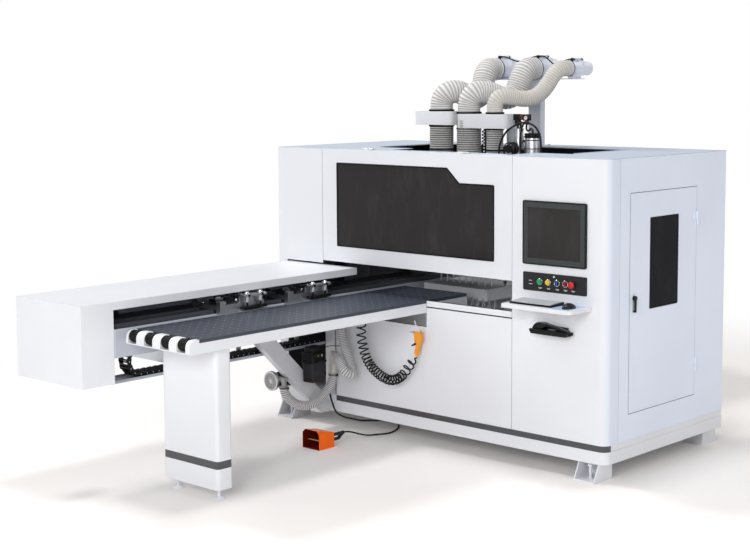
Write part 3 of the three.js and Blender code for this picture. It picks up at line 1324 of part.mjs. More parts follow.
function headCarriage() {
  const plate = span([head.left, plateFront, head.bottom], [head.right, plateBack, head.shelfTop]);
  const blocks = upperRails.flatMap((z) => [head.left, head.right - head.blockLength]
    .map((x) => railBlock(x, z, plateBack - weld)));
  const boxes = rack.left.map((x0, index) => extrude('z', fillet([
    [x0, rack.front[index]], [rack.right[index], rack.front[index], rack.corner],
    [rack.right[index], rack.back[index]], [x0, rack.back[index]],
  ]), rack.bottom[index], rack.top[index]));
  const arms = head.armLeft.map((x, index) => span(
    [x, rack.back[0] - weld, head.shelfTop - weld],
    [x + head.armWidth[index], plateBack, rack.top[index]],
  ));
  const shelfPlate = span(
    [head.left, head.shelfFront, head.shelfTop - head.shelf],
    [head.right, plateFront + weld, head.shelfTop],
  );
  const bands = riser.x.flatMap((x, index) => {
    const box = index ? 1 : 0;
    return [rack.top[box] - weld, rack.bottom[box] - rack.bandHeight + weld].map((z) => rod('z',
      [x, riser.y[index], z], ductRadius[index] + rack.band, rack.bandHeight));
  });
  const holes = riser.x.map((x, index) => rod('z', [x, riser.y[index], rack.bottom[1] - 2 * rack.bandHeight],
    running(ductRadius[index], roundSides), rack.top[0] - rack.bottom[1] + 4 * rack.bandHeight));
  const canister = rod('z', [head.canisterX, head.canisterY, head.shelfTop - weld], head.canisterRadius,
    head.canisterTop - head.shelfTop);
  const cap = rod('z', [head.canisterX, head.canisterY, head.canisterTop - head.capHeight],
    head.canisterRadius + head.capOver, head.capHeight);
  const column = rod('z', [head.columnX, head.columnY, head.shelfTop - weld], head.columnRadius,
    head.columnTop - head.shelfTop + 2 * weld);
  const motor = rod('y', [head.motorX, head.motorY, head.motorZ], head.motorRadius, head.motorLength);
  const motorFoot = span(
    [head.motorX - head.motorRadius / 2, head.motorY, head.shelfTop - weld],
    [head.motorX + head.motorRadius / 2, head.motorY + head.motorLength, head.motorZ],
  );
  const s = head.regulatorSize;
  const [right, top, back] = [rack.right[1], rack.top[1], rack.back[1]];
  const regulator = span([right - weld, back - s, top - head.regulatorHeight], [right + 2.5 * s, back, top]);
  const gauge = rod('y', [right + s * 2.5, back - s * 1.3, top - s / 2], head.gaugeRadius, s / 2);
  const airY = back - s / 2;
  const airHose = cord(smoothPath([
    [right + s, airY, top - s], [right + s, airY, top - s * 1.8], [right + s / 2, airY - s / 4, top - s * 3],
    [right + s / 4, airY - s / 2, top - s * 4.4], [right + s / 4, airY - s / 2, head.shelfTop - weld],
  ]), head.airTube, head.airSteps);
  const body = join(plate, ...blocks, ...boxes, ...arms, shelfPlate, ...bands, canister, cap, column, motor,
    motorFoot, regulator, gauge, airHose);
  return cut(body, ...holes);
}

function drillHead() {
  const back = plateFront - gap;
  const block = span([drill.left, drill.front, drill.bottom], [drill.right, back, drill.top]);
  const middleY = (drill.front + back) / 2;
  const pitch = (drill.right - drill.left) / drill.bits;
  const bits = Array.from({ length: drill.bits }, (_, index) => {
    const x = drill.left + pitch * (index + 1 / 2);
    return [
      rod('z', [x, middleY, drill.bottom - drill.chuckLength], drill.chuckRadius, drill.chuckLength + weld, smallSides),
      rod('z', [x, middleY, drill.bottom - drill.chuckLength - drill.bitLength], drill.bitRadius,
        drill.bitLength + weld, smallSides),
    ];
  }).flat();
  const spindle = rod('z', [drill.spindleX, middleY, drill.spindleBottom], drill.spindleRadius,
    drill.top - drill.spindleBottom);
  const collet = rod('z', [drill.spindleX, middleY, drill.spindleBottom - drill.colletLength], drill.collet / 2,
    drill.colletLength + weld, roundSides, drill.collet);
  const mount = span(
    [drill.right - weld, middleY, drill.top - drill.sideBlock * 2],
    [drill.spindleX + drill.spindleRadius, back, drill.top],
  );
  return join(block, ...bits, spindle, collet, mount);
}

function lowerHeadBody() {
  const plate = span([lowerHead.left, plateFront, gantry.lowerBottom], [lowerHead.right, plateBack, lowerHead.plateTop]);
  const blocks = lowerRails.flatMap((z) => [lowerHead.left, lowerHead.right - head.blockLength]
    .map((x) => railBlock(x, z, plateBack - weld)));
  const x0 = lowerHead.left + lowerHead.inset;
  const x1 = lowerHead.right - lowerHead.inset;
  const block = span([x0, lowerHead.front, lowerHead.blockBottom], [x1, plateFront + weld, lowerHead.blockTop]);
  const pitch = (x1 - x0) / lowerHead.bits;
  const middleY = (lowerHead.front + plateFront) / 2;
  const bits = Array.from({ length: lowerHead.bits }, (_, index) => {
    const x = x0 + pitch * (index + 1 / 2);
    return [
      rod('z', [x, middleY, lowerHead.blockTop - weld], drill.chuckRadius, drill.chuckLength + weld, smallSides),
      rod('z', [x, middleY, lowerHead.blockTop + drill.chuckLength - weld], drill.bitRadius, drill.bitLength / 2, smallSides),
    ];
  }).flat();
  return join(plate, ...blocks, block, ...bits);
}

// Assembly
const machine = new THREE.Group();

piece(machine, 'base_frame', baseFrame(), 'white');
piece(machine, 'front_left_panel', frontLeftPanel(), 'white');
piece(machine, 'front_lower_panel', frontLowerPanel(), 'white');
piece(machine, 'control_column', controlColumn(), 'white');
piece(machine, 'right_side_panel', rightSidePanel(), 'white');
piece(machine, 'left_side_panel', leftSidePanel(), 'white');
piece(machine, 'rear_panel', rearPanel(), 'white');
piece(machine, 'roof_panel', roofPanel(), 'paleBlue');
piece(machine, 'window_cover', windowCover(), 'white');
piece(machine, 'window_pane', extrude('y', panePoints(gap), pane.recess, pane.recess + pane.thickness), 'glass');
piece(machine, 'side_door', sideDoor(), 'white');
piece(machine, 'side_door_pull', doorPull(), 'black', [cabinet.width + gap, pullY, pullZ]);
piece(machine, 'gantry_bridge', gantryBridge(), 'paleBlue');

piece(machine, 'beam_body', beamBody(), 'white');
piece(machine, 'beam_cover_front', beamCover(cover.front, cover.front + cover.boxLength, cover.inside), 'white');
piece(machine, 'beam_cover_rear',
  beamCover(beam.back + cover.rearBox, beam.back + cover.rearBox - cover.boxLength, cabinet.depth - cover.inside), 'white');
piece(machine, 'drag_chain', dragChain(), 'black');
piece(machine, 'beam_brace', beamBrace(), 'paleBlue');
[clamp.firstY, clamp.secondY].forEach((y, index) => {
  const unit = new THREE.Group();
  unit.position.set(0, y, beam.top);
  machine.add(unit);
  piece(unit, `clamp_carriage_${index + 1}`, clampCarriage(), 'steel');
  piece(unit, `clamp_jaw_${index + 1}`, clampJaw(), 'black');
});

piece(machine, 'front_table_frame', frontTableFrame(), 'white');
piece(machine, 'front_table_board', frontTableBoard(), 'board');
piece(machine, 'front_table_leg', legWithFeet(leg.front, 1), 'white');
[0, 1, 2, 3].forEach((index) => {
  piece(machine, `nose_roller_${index + 1}`, noseRoller(), 'black', rollerPlace(index));
});
piece(machine, 'rear_table', rearTableBody(), 'white');

piece(machine, 'lubrication_pump', lubricationPump(), 'black');
piece(machine, 'suction_blower', suctionBlower(), 'grey');
piece(machine, 'suction_hose', ribbedHose(smoothPath(suctionRoute), hose.radius, hose.rib, hose.wall, hose.pitch), 'hose');
piece(machine, 'drain_hose', ribbedHose(smoothPath(drainRoute), hose.radius, hose.rib, hose.wall, hose.pitch), 'hose');
piece(machine, 'y_fitting', yFitting(), 'plastic');

const gunGroup = new THREE.Group();
gunGroup.position.set(gun.x, gun.y, gun.top);
machine.add(gunGroup);
piece(gunGroup, 'air_gun', gunBody(), 'orange');
piece(gunGroup, 'air_gun_trigger', gunTrigger(), 'orange', triggerPlace);
piece(machine, 'air_gun_hose', curlyHose(), 'black');

const pedalGroup = new THREE.Group();
pedalGroup.position.set(pedal.x, pedal.y, 0);
machine.add(pedalGroup);
piece(pedalGroup, 'pedal_housing', pedalHousing(), 'orange');
piece(pedalGroup, 'pedal_plate', pedalPlate(), 'steel',
  [pedal.width / 2, pedal.length - pedal.hingeInset, pedal.hingeHeight]);
piece(machine, 'pedal_cable', cord(smoothPath(cableRoute), cable.radius, cable.steps), 'black');

const column = new THREE.Group();
column.position.set(columnX, 0, 0);
machine.add(column);
piece(column, 'monitor', monitorBody(), 'grey', [monitor.left, 0, monitor.bottom]);
const panel = new THREE.Group();
panel.position.set(buttons.left, 0, buttons.bottom);
column.add(panel);
piece(panel, 'button_panel', buttonPanel(), 'darkGrey');
const buttonY = -buttons.thickness - gap;
const controls = [
  ['start_button', pushButton, 'green'], ['reset_button', pushButton, 'yellow'], ['mode_selector', selectorKnob, 'blue'],
  ['speed_selector', selectorKnob, 'red'], ['emergency_stop', emergencyStop, 'red'],
];
controls.forEach(([name, shape, finish], index) => {
  piece(panel, name, shape(), finish, [buttonX(index), buttonY, buttons.row]);
});
piece(column, 'keyboard_shelf', keyboardShelf(), 'white', [shelf.left, 0, 0]);
piece(column, 'keyboard', keyboardBody(), 'grey',
  [shelf.left + keyboard.left, -shelf.depth + keyboard.inset, shelf.top + gap]);
piece(column, 'mouse', mouseBody(), 'black',
  [shelf.left + mouse.left, -shelf.depth + mouse.fromFront + mouse.length / 2, shelf.top + gap]);
piece(column, 'scanner_holder', scannerHolder(), 'black', [holder.left, 0, holder.bottom]);
piece(column, 'barcode_scanner', scannerBody(), 'black', [
  holder.left + (holder.width - scanner.width) / 2, -(holder.depth + scanner.thickness) / 2,
  holder.bottom + holder.wall + gap,
]);

piece(machine, 'dust_manifold', dustManifold(), 'white');
riser.x.forEach((_, index) => {
  const curve = smoothPath(dustHoseRoute(index));
  piece(machine, `dust_hose_${index + 1}`, ribbedHose(curve, ductRadius[index], riser.rib, riser.wall, riser.pitch), 'hose');
});
piece(machine, 'head_carriage', headCarriage(), 'white');
piece(machine, 'drill_head', drillHead(), 'steel');
piece(machine, 'lower_head', lowerHeadBody(), 'steel');

// The origin lies on the floor, under the middle of everything but the free cords
const cords = ['pedal_cable', 'air_gun_hose'];
const box = new THREE.Box3();
machine.updateMatrixWorld(true);
machine.traverse((node) => {
  if (node.isMesh && !cords.includes(node.name)) box.expandByObject(node, true);
});
const centre = box.getCenter(new THREE.Vector3());
machine.position.set(-centre.x, -centre.y, -box.min.z);

const root = new THREE.Group();
root.add(machine);

export default root;
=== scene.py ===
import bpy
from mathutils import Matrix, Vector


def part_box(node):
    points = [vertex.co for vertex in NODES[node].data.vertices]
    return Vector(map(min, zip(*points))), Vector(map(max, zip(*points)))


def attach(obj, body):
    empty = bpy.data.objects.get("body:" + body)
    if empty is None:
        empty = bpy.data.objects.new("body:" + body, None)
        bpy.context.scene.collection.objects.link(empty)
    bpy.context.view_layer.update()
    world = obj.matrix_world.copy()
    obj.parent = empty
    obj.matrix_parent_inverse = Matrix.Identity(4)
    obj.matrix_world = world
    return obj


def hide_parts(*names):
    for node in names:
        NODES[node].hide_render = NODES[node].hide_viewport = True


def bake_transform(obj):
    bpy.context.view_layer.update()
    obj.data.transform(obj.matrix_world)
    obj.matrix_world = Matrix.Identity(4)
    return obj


bl_info = {
    "name": "Panel Drilling Machine",
    "version": (1, 0, 0),
    "blender": (4, 5, 0),
    "location": "View3D > Sidebar > Drilling Machine",
    "description": "Builds the looks of a six sided panel drilling machine around its packed frame",
    "category": "Object",
}

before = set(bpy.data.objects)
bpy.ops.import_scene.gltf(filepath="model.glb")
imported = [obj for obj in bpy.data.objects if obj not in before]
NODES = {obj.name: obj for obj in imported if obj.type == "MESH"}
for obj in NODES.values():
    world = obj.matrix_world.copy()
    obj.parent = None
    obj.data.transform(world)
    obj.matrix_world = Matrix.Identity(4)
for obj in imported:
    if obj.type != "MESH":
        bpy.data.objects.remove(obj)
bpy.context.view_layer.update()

from math import cos, pi, radians, sin

import bmesh
import bpy
from bpy.props import FloatProperty, FloatVectorProperty, IntProperty, PointerProperty
from mathutils import Matrix, Vector

# Millimetres from the cabinet's front left corner on the floor, as the part's source has them
CORNER = Vector((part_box("left_side_panel")[0].x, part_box("control_column")[0].y, 0))


def at(x, y, z):
    """A place in the row frame, in metres."""
    return CORNER + Vector((x, y, z)) / 1000


def colour_of(label, note, default):
    return FloatVectorProperty(
        name=label, description=note, subtype="COLOR", size=3, min=0, max=1, default=default
    )


def length_of(label, note, default, low=0.0005):
    return FloatProperty(name=label, description=note, unit="LENGTH", default=default, min=low, precision=4)


class MachineColours(bpy.types.PropertyGroup):
    """Paints and plastics of the machine"""

    cabinet: colour_of("Cabinet", "Powder coat of the cabinet, the beam covers and the table", (0.80, 0.815, 0.855))
    # Painted shade: the side colour is the cabinet's own white tinted blue, for the faces on the machine's sides
    side: colour_of("Cabinet side", "Powder coat of the side panel and its door", (0.80, 0.86, 0.99))
    structure: colour_of("Structure", "Paint of the gantry, the brace and the foot shoes", (0.78, 0.80, 0.84))
    trim: colour_of("Trim strip", "Dark band round the base and the table leg", (0.065, 0.068, 0.076))
    board: colour_of("Table board", "Top of the float table", (0.046, 0.054, 0.074))
    hose: colour_of("Dust hose", "Cream skin of the wide dust hoses", (0.78, 0.765, 0.76))
    dusty: colour_of("Dusty hose", "The dust hoses below their rack", (0.60, 0.59, 0.58))
    duct: colour_of("Ducts", "Sheet metal of the dust ducts", (0.74, 0.77, 0.86))
    clear_hose: colour_of("Suction hose", "Milky skin of the suction and drain hoses", (0.80, 0.80, 0.81))
    pedal: colour_of("Foot pedal", "Guard of the foot pedal", (1.0, 0.15, 0.0))
    gun: colour_of("Air gun", "Body of the air gun", (0.93, 0.35, 0.01))


class MachineSizes(bpy.types.PropertyGroup):
    """Sizes of the details"""

    gasket: length_of("Gasket", "Width of the rubber round the windows", 0.007)
    hose_pitch: length_of("Dust hose pitch", "Distance between two ribs of a dust hose", 0.015, 0.006)
    small_pitch: length_of("Suction hose pitch", "Distance between two ribs of a suction hose", 0.0125, 0.004)
    nozzle_pitch: length_of("Nozzle pitch", "Distance between two air nozzles of the table", 0.068, 0.02)
    round_sides: IntProperty(name="Round sides", description="Facets round a lathe piece", default=32, min=8, max=96)


def colours():
    return bpy.context.scene.machine_colours


def sizes():
    return bpy.context.scene.machine_sizes


class Wire:
    """One output of a shader node, for use in Python sums."""

    def __init__(self, ink, socket):
        self.ink = ink
        self.socket = socket

    def sum(self, kind, first, second):
        return self.ink.node("Math", {"operation": kind}, {0: first, 1: second})

    def __add__(self, other):
        return self.sum("ADD", self, other)

    def __radd__(self, other):
        return self.sum("ADD", other, self)

    def __sub__(self, other):
        return self.sum("SUBTRACT", self, other)

    def __rsub__(self, other):
        return self.sum("SUBTRACT", other, self)

    def __mul__(self, other):
        return self.sum("MULTIPLY", self, other)

    def __pow__(self, other):
        return self.sum("POWER", self, other)

    def above(self, edge):
        return self.sum("GREATER_THAN", self, edge)

    def below(self, edge):
        return self.sum("LESS_THAN", self, edge)

    def ramp(self, low, high):
        """0 up to low, 1 from high, smooth between them."""
        return self.ink.node(
            "MapRange", {"interpolation_type": "SMOOTHSTEP"}, {"Value": self, "From Min": low, "From Max": high}
        )


class Ink:
    """A material around one Principled shader."""

    def __init__(self, name, colour, roughness, shine=0.5, fixed=None):
        self.material = bpy.data.materials.new(name)
        self.material.use_nodes = True
        self.tree = self.material.node_tree
        self.shader = self.tree.nodes["Principled BSDF"]
        values = {"Base Color": (*colour, 1), "Roughness": roughness, "Specular IOR Level": shine}
        for key, value in {**values, **(fixed or {})}.items():
            self.shader.inputs[key].default_value = value
        self.place = self.node("TexCoord", output="Object")

    def node(self, kind, settings=None, inputs=None, output=0):
        made = self.tree.nodes.new("ShaderNode" + kind)
        for key, value in (settings or {}).items():
            setattr(made, key, value)
        for key, value in (inputs or {}).items():
            self.feed(made.inputs[key], value)
        return Wire(self, made.outputs[output])

    def feed(self, socket, value):
        if isinstance(value, Wire):
            self.tree.links.new(value.socket, socket)
        else:
            socket.default_value = (*value, 1) if socket.type == "RGBA" else value

    def set(self, name, value):
        self.feed(self.shader.inputs[name], value)

    def mix(self, first, second, share):
        return self.node("Mix", {"data_type": "RGBA"}, {0: share, 6: first, 7: second}, 2)

    def stretch(self, x, y, z):
        return self.node("VectorMath", {"operation": "MULTIPLY"}, {0: self.place, 1: (x, y, z)})

    def axis(self, name):
        return self.node("SeparateXYZ", None, {0: self.place}, name)

    def noise(self, scale, detail=2.0, vector=None, roughness=0.5):
        inputs = {"Vector": vector or self.place, "Scale": scale, "Detail": detail, "Roughness": roughness}
        return self.node("TexNoise", None, inputs)

    def finished(self, tone, roughness, height, depth, strength, edges=0.0):
        """The material with its tone, and a relief of a depth in metres with rounded edges."""
        self.set("Base Color", tone)
        self.set("Roughness", roughness)
        relief = {"Height": height, "Distance": depth, "Strength": strength}
        if edges:
            relief["Normal"] = self.node("Bevel", {"samples": 4}, {"Radius": edges})
        self.set("Normal", self.node("Bump", None, relief))
        return self.material


def chosen(colour):
    """A colour as it is given, or the setting that its name stands for."""
    return tuple(getattr(colours(), colour)) if isinstance(colour, str) else colour


def scaled(colour, share):
    return tuple(channel * share for channel in colour)


def powder_coat(name, colour, roughness=0.42):
    """Textured powder coat: faint clouds, handling marks, dust low down, orange peel."""
    ink = Ink(name, colour, roughness, fixed={"Coat Weight": 0.15, "Coat Roughness": 0.25})
    clouds = ink.noise(1.6, 3)
    marks = ink.noise(7, 5, ink.stretch(1, 1, 0.25), 0.65).ramp(0.52, 0.8)
    low = 1 - ink.axis("Z").ramp(0.02, 0.35)
    cells = ink.node("TexVoronoi", None, {"Vector": ink.place, "Scale": 260}, "Distance")
    speck = cells.below(0.1) * ink.noise(30).ramp(0.55, 0.7)
    tone = ink.mix(colour, scaled(colour, 0.93), clouds.ramp(0.35, 0.7) * 0.5 + marks * 0.25)
    tone = ink.mix(tone, scaled(colour, 0.72), low * clouds * 0.24 + speck * 0.08)
    rough = roughness + (clouds - 0.5) * 0.14 + marks * 0.08
    return ink.finished(tone, rough, ink.noise(520, 1.5) + marks * 0.3, 0.0003, 0.12, 0.0025)


def moulded(name, colour, roughness=0.45, shine=0.5):
    """Moulded plastic or rubber with a fine grain, and paler rubbed places."""
    ink = Ink(name, colour, roughness, shine)
    clouds = ink.noise(9, 4)
    rubbed = ink.noise(45, 4, None, 0.7).ramp(0.55, 0.8)
    pale = tuple(channel + (0.35 - channel) * 0.35 if channel < 0.35 else channel * 0.85 for channel in colour)
    tone = ink.mix(ink.mix(colour, scaled(colour, 0.85), clouds), pale, rubbed * 0.12)
    rough = roughness + (clouds - 0.5) * 0.18 + rubbed * 0.06
    return ink.finished(tone, rough, ink.noise(900, 1), 0.00015, 0.3, 0.001)


def metal(name, colour, roughness=0.3, grain=(1, 1, 40), stain=0.25):
    """Bare metal with a grain along one direction and darker handled places."""
    ink = Ink(name, colour, roughness, fixed={"Metallic": 1})
    lines = ink.noise(60, 3, ink.stretch(*grain), 0.6)
    clouds = ink.noise(5, 4)
    tone = ink.mix(colour, scaled(colour, 0.7), clouds.ramp(0.4, 0.8) * stain + lines * 0.2)
    return ink.finished(tone, roughness + (lines - 0.5) * 0.2 + clouds * 0.08, lines, 0.0001, 0.25, 0.001)


def glossy(name, colour, roughness, shine):
    """Glass, a screen or glossy enamel with faint wiping marks."""
    ink = Ink(name, colour, roughness, shine)
    smears = ink.noise(6, 5, ink.stretch(1, 1, 0.35), 0.7).ramp(0.45, 0.85)
    tone = ink.mix(colour, tuple(channel + 0.02 for channel in colour), smears)
    return ink.finished(tone, roughness + smears * 0.06, ink.noise(3, 1), 0.0005, 0.05)


def hose_skin(name, colour, roughness=0.6, dirt=0.35):
    """Ribbed hose skin with dust in patches."""
    ink = Ink(name, colour, roughness, 0.3)
    patches = ink.noise(7, 5, None, 0.65).ramp(0.4, 0.75)
    tone = ink.mix(colour, scaled(colour, 0.72), patches * dirt + ink.noise(90, 3) * 0.18)
    return ink.finished(tone, roughness + patches * 0.12, ink.noise(240, 2), 0.0004, 0.35)


def two_tone_and_shade(name, colour, other, mask_of, roughness=0.42):
    """Powder coat with a second colour where a mask says so; for some masks it is a real trim band, for others
    painted shade.
    """
    ink = Ink(name, colour, roughness, fixed={"Coat Weight": 0.1})
    other = chosen(other)
    clouds = ink.noise(1.6, 3)
    lines = ink.noise(60, 3, ink.stretch(40, 1, 40), 0.6)
    mask = mask_of(ink)
    coat = ink.mix(colour, scaled(colour, 0.93), clouds.ramp(0.35, 0.7) * 0.5)
    tone = ink.mix(coat, ink.mix(other, scaled(other, 0.75), lines * 0.5), mask)
    rough = roughness + (clouds - 0.5) * 0.14 - mask * 0.1
    return ink.finished(tone, rough, ink.noise(520, 1.5) * (1 - mask) + lines * mask, 0.0003, 0.12, 0.002)


def boxed(low, high):
    """A mask for the places between two corners, in metres."""
    def mask_of(ink):
        mask = 1.0
        for axis, least, most in zip("XYZ", low, high):
            place = ink.axis(axis)
            mask = place.above(least) * place.below(most) * mask
        return mask
    return mask_of


def nozzle_board(name, colour):
    """Dark laminate with rows of pale air nozzles, their holes painted black as shade."""
    ink = Ink(name, colour, 0.42, 0.25)
    half_pitch = sizes().nozzle_pitch / 2

    def squared(axis):
        wave = ink.node("Math", {"operation": "PINGPONG"}, {0: ink.axis(axis), 1: half_pitch})
        return wave * wave

    spot = (squared("X") + squared("Y")) ** 0.5
    rim, hole = spot.below(0.0062), spot.below(0.0028)
    clouds = ink.noise(3.5, 5)
    scuffs = ink.noise(14, 5, ink.stretch(1, 0.15, 1), 0.7).ramp(0.55, 0.8)
    tone = ink.mix(colour, scaled(colour, 1.5), clouds * 0.6 + scuffs * 0.4)
    # Painted shade: the nozzle holes are near black
    tone = ink.mix(ink.mix(tone, (0.42, 0.43, 0.45), rim), (0.01, 0.01, 0.01), hole)
    rough = 0.42 + (clouds - 0.5) * 0.12 + scuffs * 0.1
    return ink.finished(tone, rough, rim * 0.4 - hole + ink.noise(700, 1) * 0.05, 0.0008, 0.5, 0.0012)


def pedal_guard(name, colour, inside):
    """Orange guard with dark red painted shade on its inside faces, and black on its back face."""
    ink = Ink(name, colour, 0.3, 0.25)
    low, high = at(797, -565, 0), at(953, -425, 128)
    wall, chamfer, fall = 0.0015, 0.024, 0.2
    x, y, z = ink.axis("X"), ink.axis("Y"), ink.axis("Z")
    under = high.z - (y - low.y) * fall - z
    mask = x.above(low.x + wall) * x.below(high.x - wall) * under.above(wall) * y.below(high.y - wall)
    for side in (x - low.x, high.x - x):
        mask = mask * (side + (high.z - z)).above(chamfer + wall * 1.5)
    clouds = ink.noise(20, 4)
    # Painted shade: the inside faces get the dark red colour
    tone = ink.mix(ink.mix(colour, scaled(colour, 0.8), clouds * 0.5), inside, mask)
    tone = ink.mix(tone, (0.008, 0.008, 0.008), y.above(high.y + 0.0005))
    return ink.finished(tone, 0.3 + (clouds - 0.5) * 0.15, ink.noise(700, 1), 0.00015, 0.3, 0.001)


# Where the two tones change, in metres: real trim bands, and painted shade inside the cabinet, inside the beam cover
# and on the gantry below the roof; FAR is past every face of the machine
ROOF_HEIGHT, BEAM_TOP, FAR = 1.95, 0.9765, 10
SHELL_INSIDE_SHADE = boxed(at(1.5, 1.5, -10), at(2808.4, 1358.5, 1948.5))
COVER_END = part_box("beam_cover_rear")[1].y - 0.0015
COVER_INSIDE_SHADE = boxed(at(94.5, -2274, 652.5), (at(742.5, 0, 0).x, COVER_END, 1.1362))
BASE_BAND = boxed((at(561, 0, 0).x, -FAR, 0.1875), (FAR, at(0, 62, 0).y, 0.2255))
LEG_BAND = boxed((-FAR, -FAR, 0.190), (FAR, FAR, 0.236))
HALF_WAY = at(0, 14, 0).y
# A metal grain without a direction
EVEN = (1, 1, 1)

# Every finish: its slot of the work order, how it is made, its colour and the rest
RECIPES = {
    "cabinet_white": ("cabinet_white", powder_coat, "cabinet"),
    # The side door: the cabinet white with the side's blue painted shade
    "side_white": ("cabinet_white", powder_coat, "side"),
    # Painted shade: the roof is the cabinet's white tinted darker and bluer for its top face
    "roof_pale": ("frame_pale", powder_coat, (0.62, 0.70, 0.82)),
    "structure": ("frame_pale", powder_coat, "structure"),
    "duct_blue": ("galvanised_steel", powder_coat, "duct", 0.38),
    "grille": ("cast_aluminium", powder_coat, (0.22, 0.20, 0.18), 0.6),
    "board": ("dark_float_board", nozzle_board, "board"),
    "black_plastic": ("black_plastic", moulded, (0.006, 0.006, 0.007), 0.45, 0.25),
    "black_rubber": ("black_rubber", moulded, (0.006, 0.006, 0.006), 0.65, 0.2),
    "dark_grey": ("grey_plastic", moulded, (0.026, 0.026, 0.028), 0.5, 0.2),
    "grey_plastic": ("grey_plastic", moulded, (0.11, 0.115, 0.13), 0.45),
    "bezel": ("grey_plastic", moulded, (0.052, 0.060, 0.062), 0.42, 0.2),
    "key_grey": ("grey_plastic", moulded, (0.62, 0.64, 0.68), 0.5),
    "pale_plastic": ("white_plastic", moulded, (0.74, 0.73, 0.67), 0.4),
    "white_plastic": ("white_plastic", moulded, (0.82, 0.82, 0.82), 0.4),
    "mat_blue": ("white_plastic", moulded, (0.42, 0.60, 0.90), 0.5),
    "gun_amber": ("orange_plastic", moulded, "gun", 0.28),
    "green": ("green_plastic", moulded, (0.01, 0.36, 0.10), 0.3),
    "yellow": ("yellow_plastic", moulded, (0.85, 0.55, 0.02), 0.3),
    "blue": ("blue_plastic", moulded, (0.02, 0.14, 0.50), 0.3),
    "red": ("red_plastic", moulded, (0.60, 0.012, 0.012), 0.3),
    "dark_red": ("red_plastic", moulded, (0.14, 0.012, 0.012), 0.4),
    "black_gloss": ("black_plastic", glossy, (0.005, 0.005, 0.006), 0.25, 0.35),
    "smoked": ("black_plastic", glossy, (0.020, 0.020, 0.024), 0.2, 0.25),
    "screen": ("black_plastic", glossy, (0.030, 0.027, 0.027), 0.15, 0.15),
    "oil": ("black_plastic", glossy, (0.022, 0.010, 0.007), 0.2, 0.25),
    "glass_black": ("tinted_glass", glossy, (0.005, 0.0045, 0.008), 0.12, 0.05),
    "glass_dark": ("tinted_glass", glossy, (0.026, 0.0235, 0.0245), 0.12, 0.12),
    "steel": ("machined_steel", metal, (0.62, 0.63, 0.65), 0.28),
    "dark_steel": ("machined_steel", metal, (0.14, 0.145, 0.155), 0.38),
    "brass": ("machined_steel", metal, (0.62, 0.44, 0.16), 0.3, EVEN),
    "zinc": ("galvanised_steel", metal, (0.70, 0.73, 0.77), 0.36, EVEN),
    "chrome": ("galvanised_steel", metal, (0.80, 0.81, 0.83), 0.12, EVEN, 0.05),
    "cast": ("cast_aluminium", metal, (0.50, 0.50, 0.50), 0.5, EVEN),
    "hose_cream": ("grey_hose", hose_skin, "hose"),
    # The valley finishes are darker copies of the hose skins: painted shade in the valleys between the ribs
    "cream_valley": ("grey_hose", hose_skin, (0.47, 0.455, 0.45)),
    "hose_tan": ("grey_hose", hose_skin, (0.68, 0.65, 0.61)),
    "tan_valley": ("grey_hose", hose_skin, (0.55, 0.52, 0.48)),
    "hose_dusty": ("grey_hose", hose_skin, "dusty", 0.7, 0.55),
    "dusty_valley": ("grey_hose", hose_skin, (0.17, 0.165, 0.16), 0.7, 0.5),
    "hose_clear": ("grey_hose", hose_skin, "clear_hose", 0.4, 0.25),
    "clear_valley": ("grey_hose", hose_skin, (0.36, 0.36, 0.37), 0.45),
    # Painted shade: faces inside the cabinet shell are nearly black
    "cabinet_shell": ("cabinet_white", two_tone_and_shade, "cabinet", (0.035, 0.036, 0.042), SHELL_INSIDE_SHADE),
    "side_shell": ("cabinet_white", two_tone_and_shade, "side", (0.035, 0.036, 0.042), SHELL_INSIDE_SHADE),
    # Painted shade: the beam cover's inside faces are dark blue-grey
    "cover_paint": ("cabinet_white", two_tone_and_shade, "cabinet", (0.13, 0.145, 0.175), COVER_INSIDE_SHADE, 0.5),
    "base_paint": ("cabinet_white", two_tone_and_shade, "cabinet", "trim", BASE_BAND),
    "leg_paint": ("cabinet_white", two_tone_and_shade, "cabinet", "trim", LEG_BAND),
    # The column's faces behind HALF_WAY take the side's blue painted shade
    "column_paint": ("cabinet_white", two_tone_and_shade, "cabinet", "side",
                     lambda ink: ink.axis("Y").ramp(HALF_WAY, HALF_WAY + 0.012)),
    # Painted shade: below the roof, inside the cabinet, the gantry is dark grey
    "gantry_grey": ("frame_pale", two_tone_and_shade, "structure", (0.11, 0.115, 0.13),
                    lambda ink: 1 - ink.axis("Z").above(ROOF_HEIGHT), 0.5),
    "beam_paint": ("cabinet_white", two_tone_and_shade, (0.50, 0.53, 0.60), (0.07, 0.075, 0.09),
                   lambda ink: ink.axis("Z").above(BEAM_TOP), 0.5),
    # The dark red is painted shade inside the pedal guard
    "pedal_paint": ("orange_plastic", pedal_guard, "pedal", (0.16, 0.008, 0.003)),
}


class Finishes(dict):
    """Every material, made once when it is first asked for."""

    def __missing__(self, name):
        maker, colour, *rest = RECIPES[name][1:]
        self[name] = maker(name, chosen(colour), *rest)
        return self[name]


FINISH = Finishes()


def keep(node, finish):
    """A CAD node that stays as it is gets its finish."""
    piece = NODES[node]
    piece.data.materials.clear()
    piece.data.materials.append(FINISH[finish])
    RECIPES[finish][0]


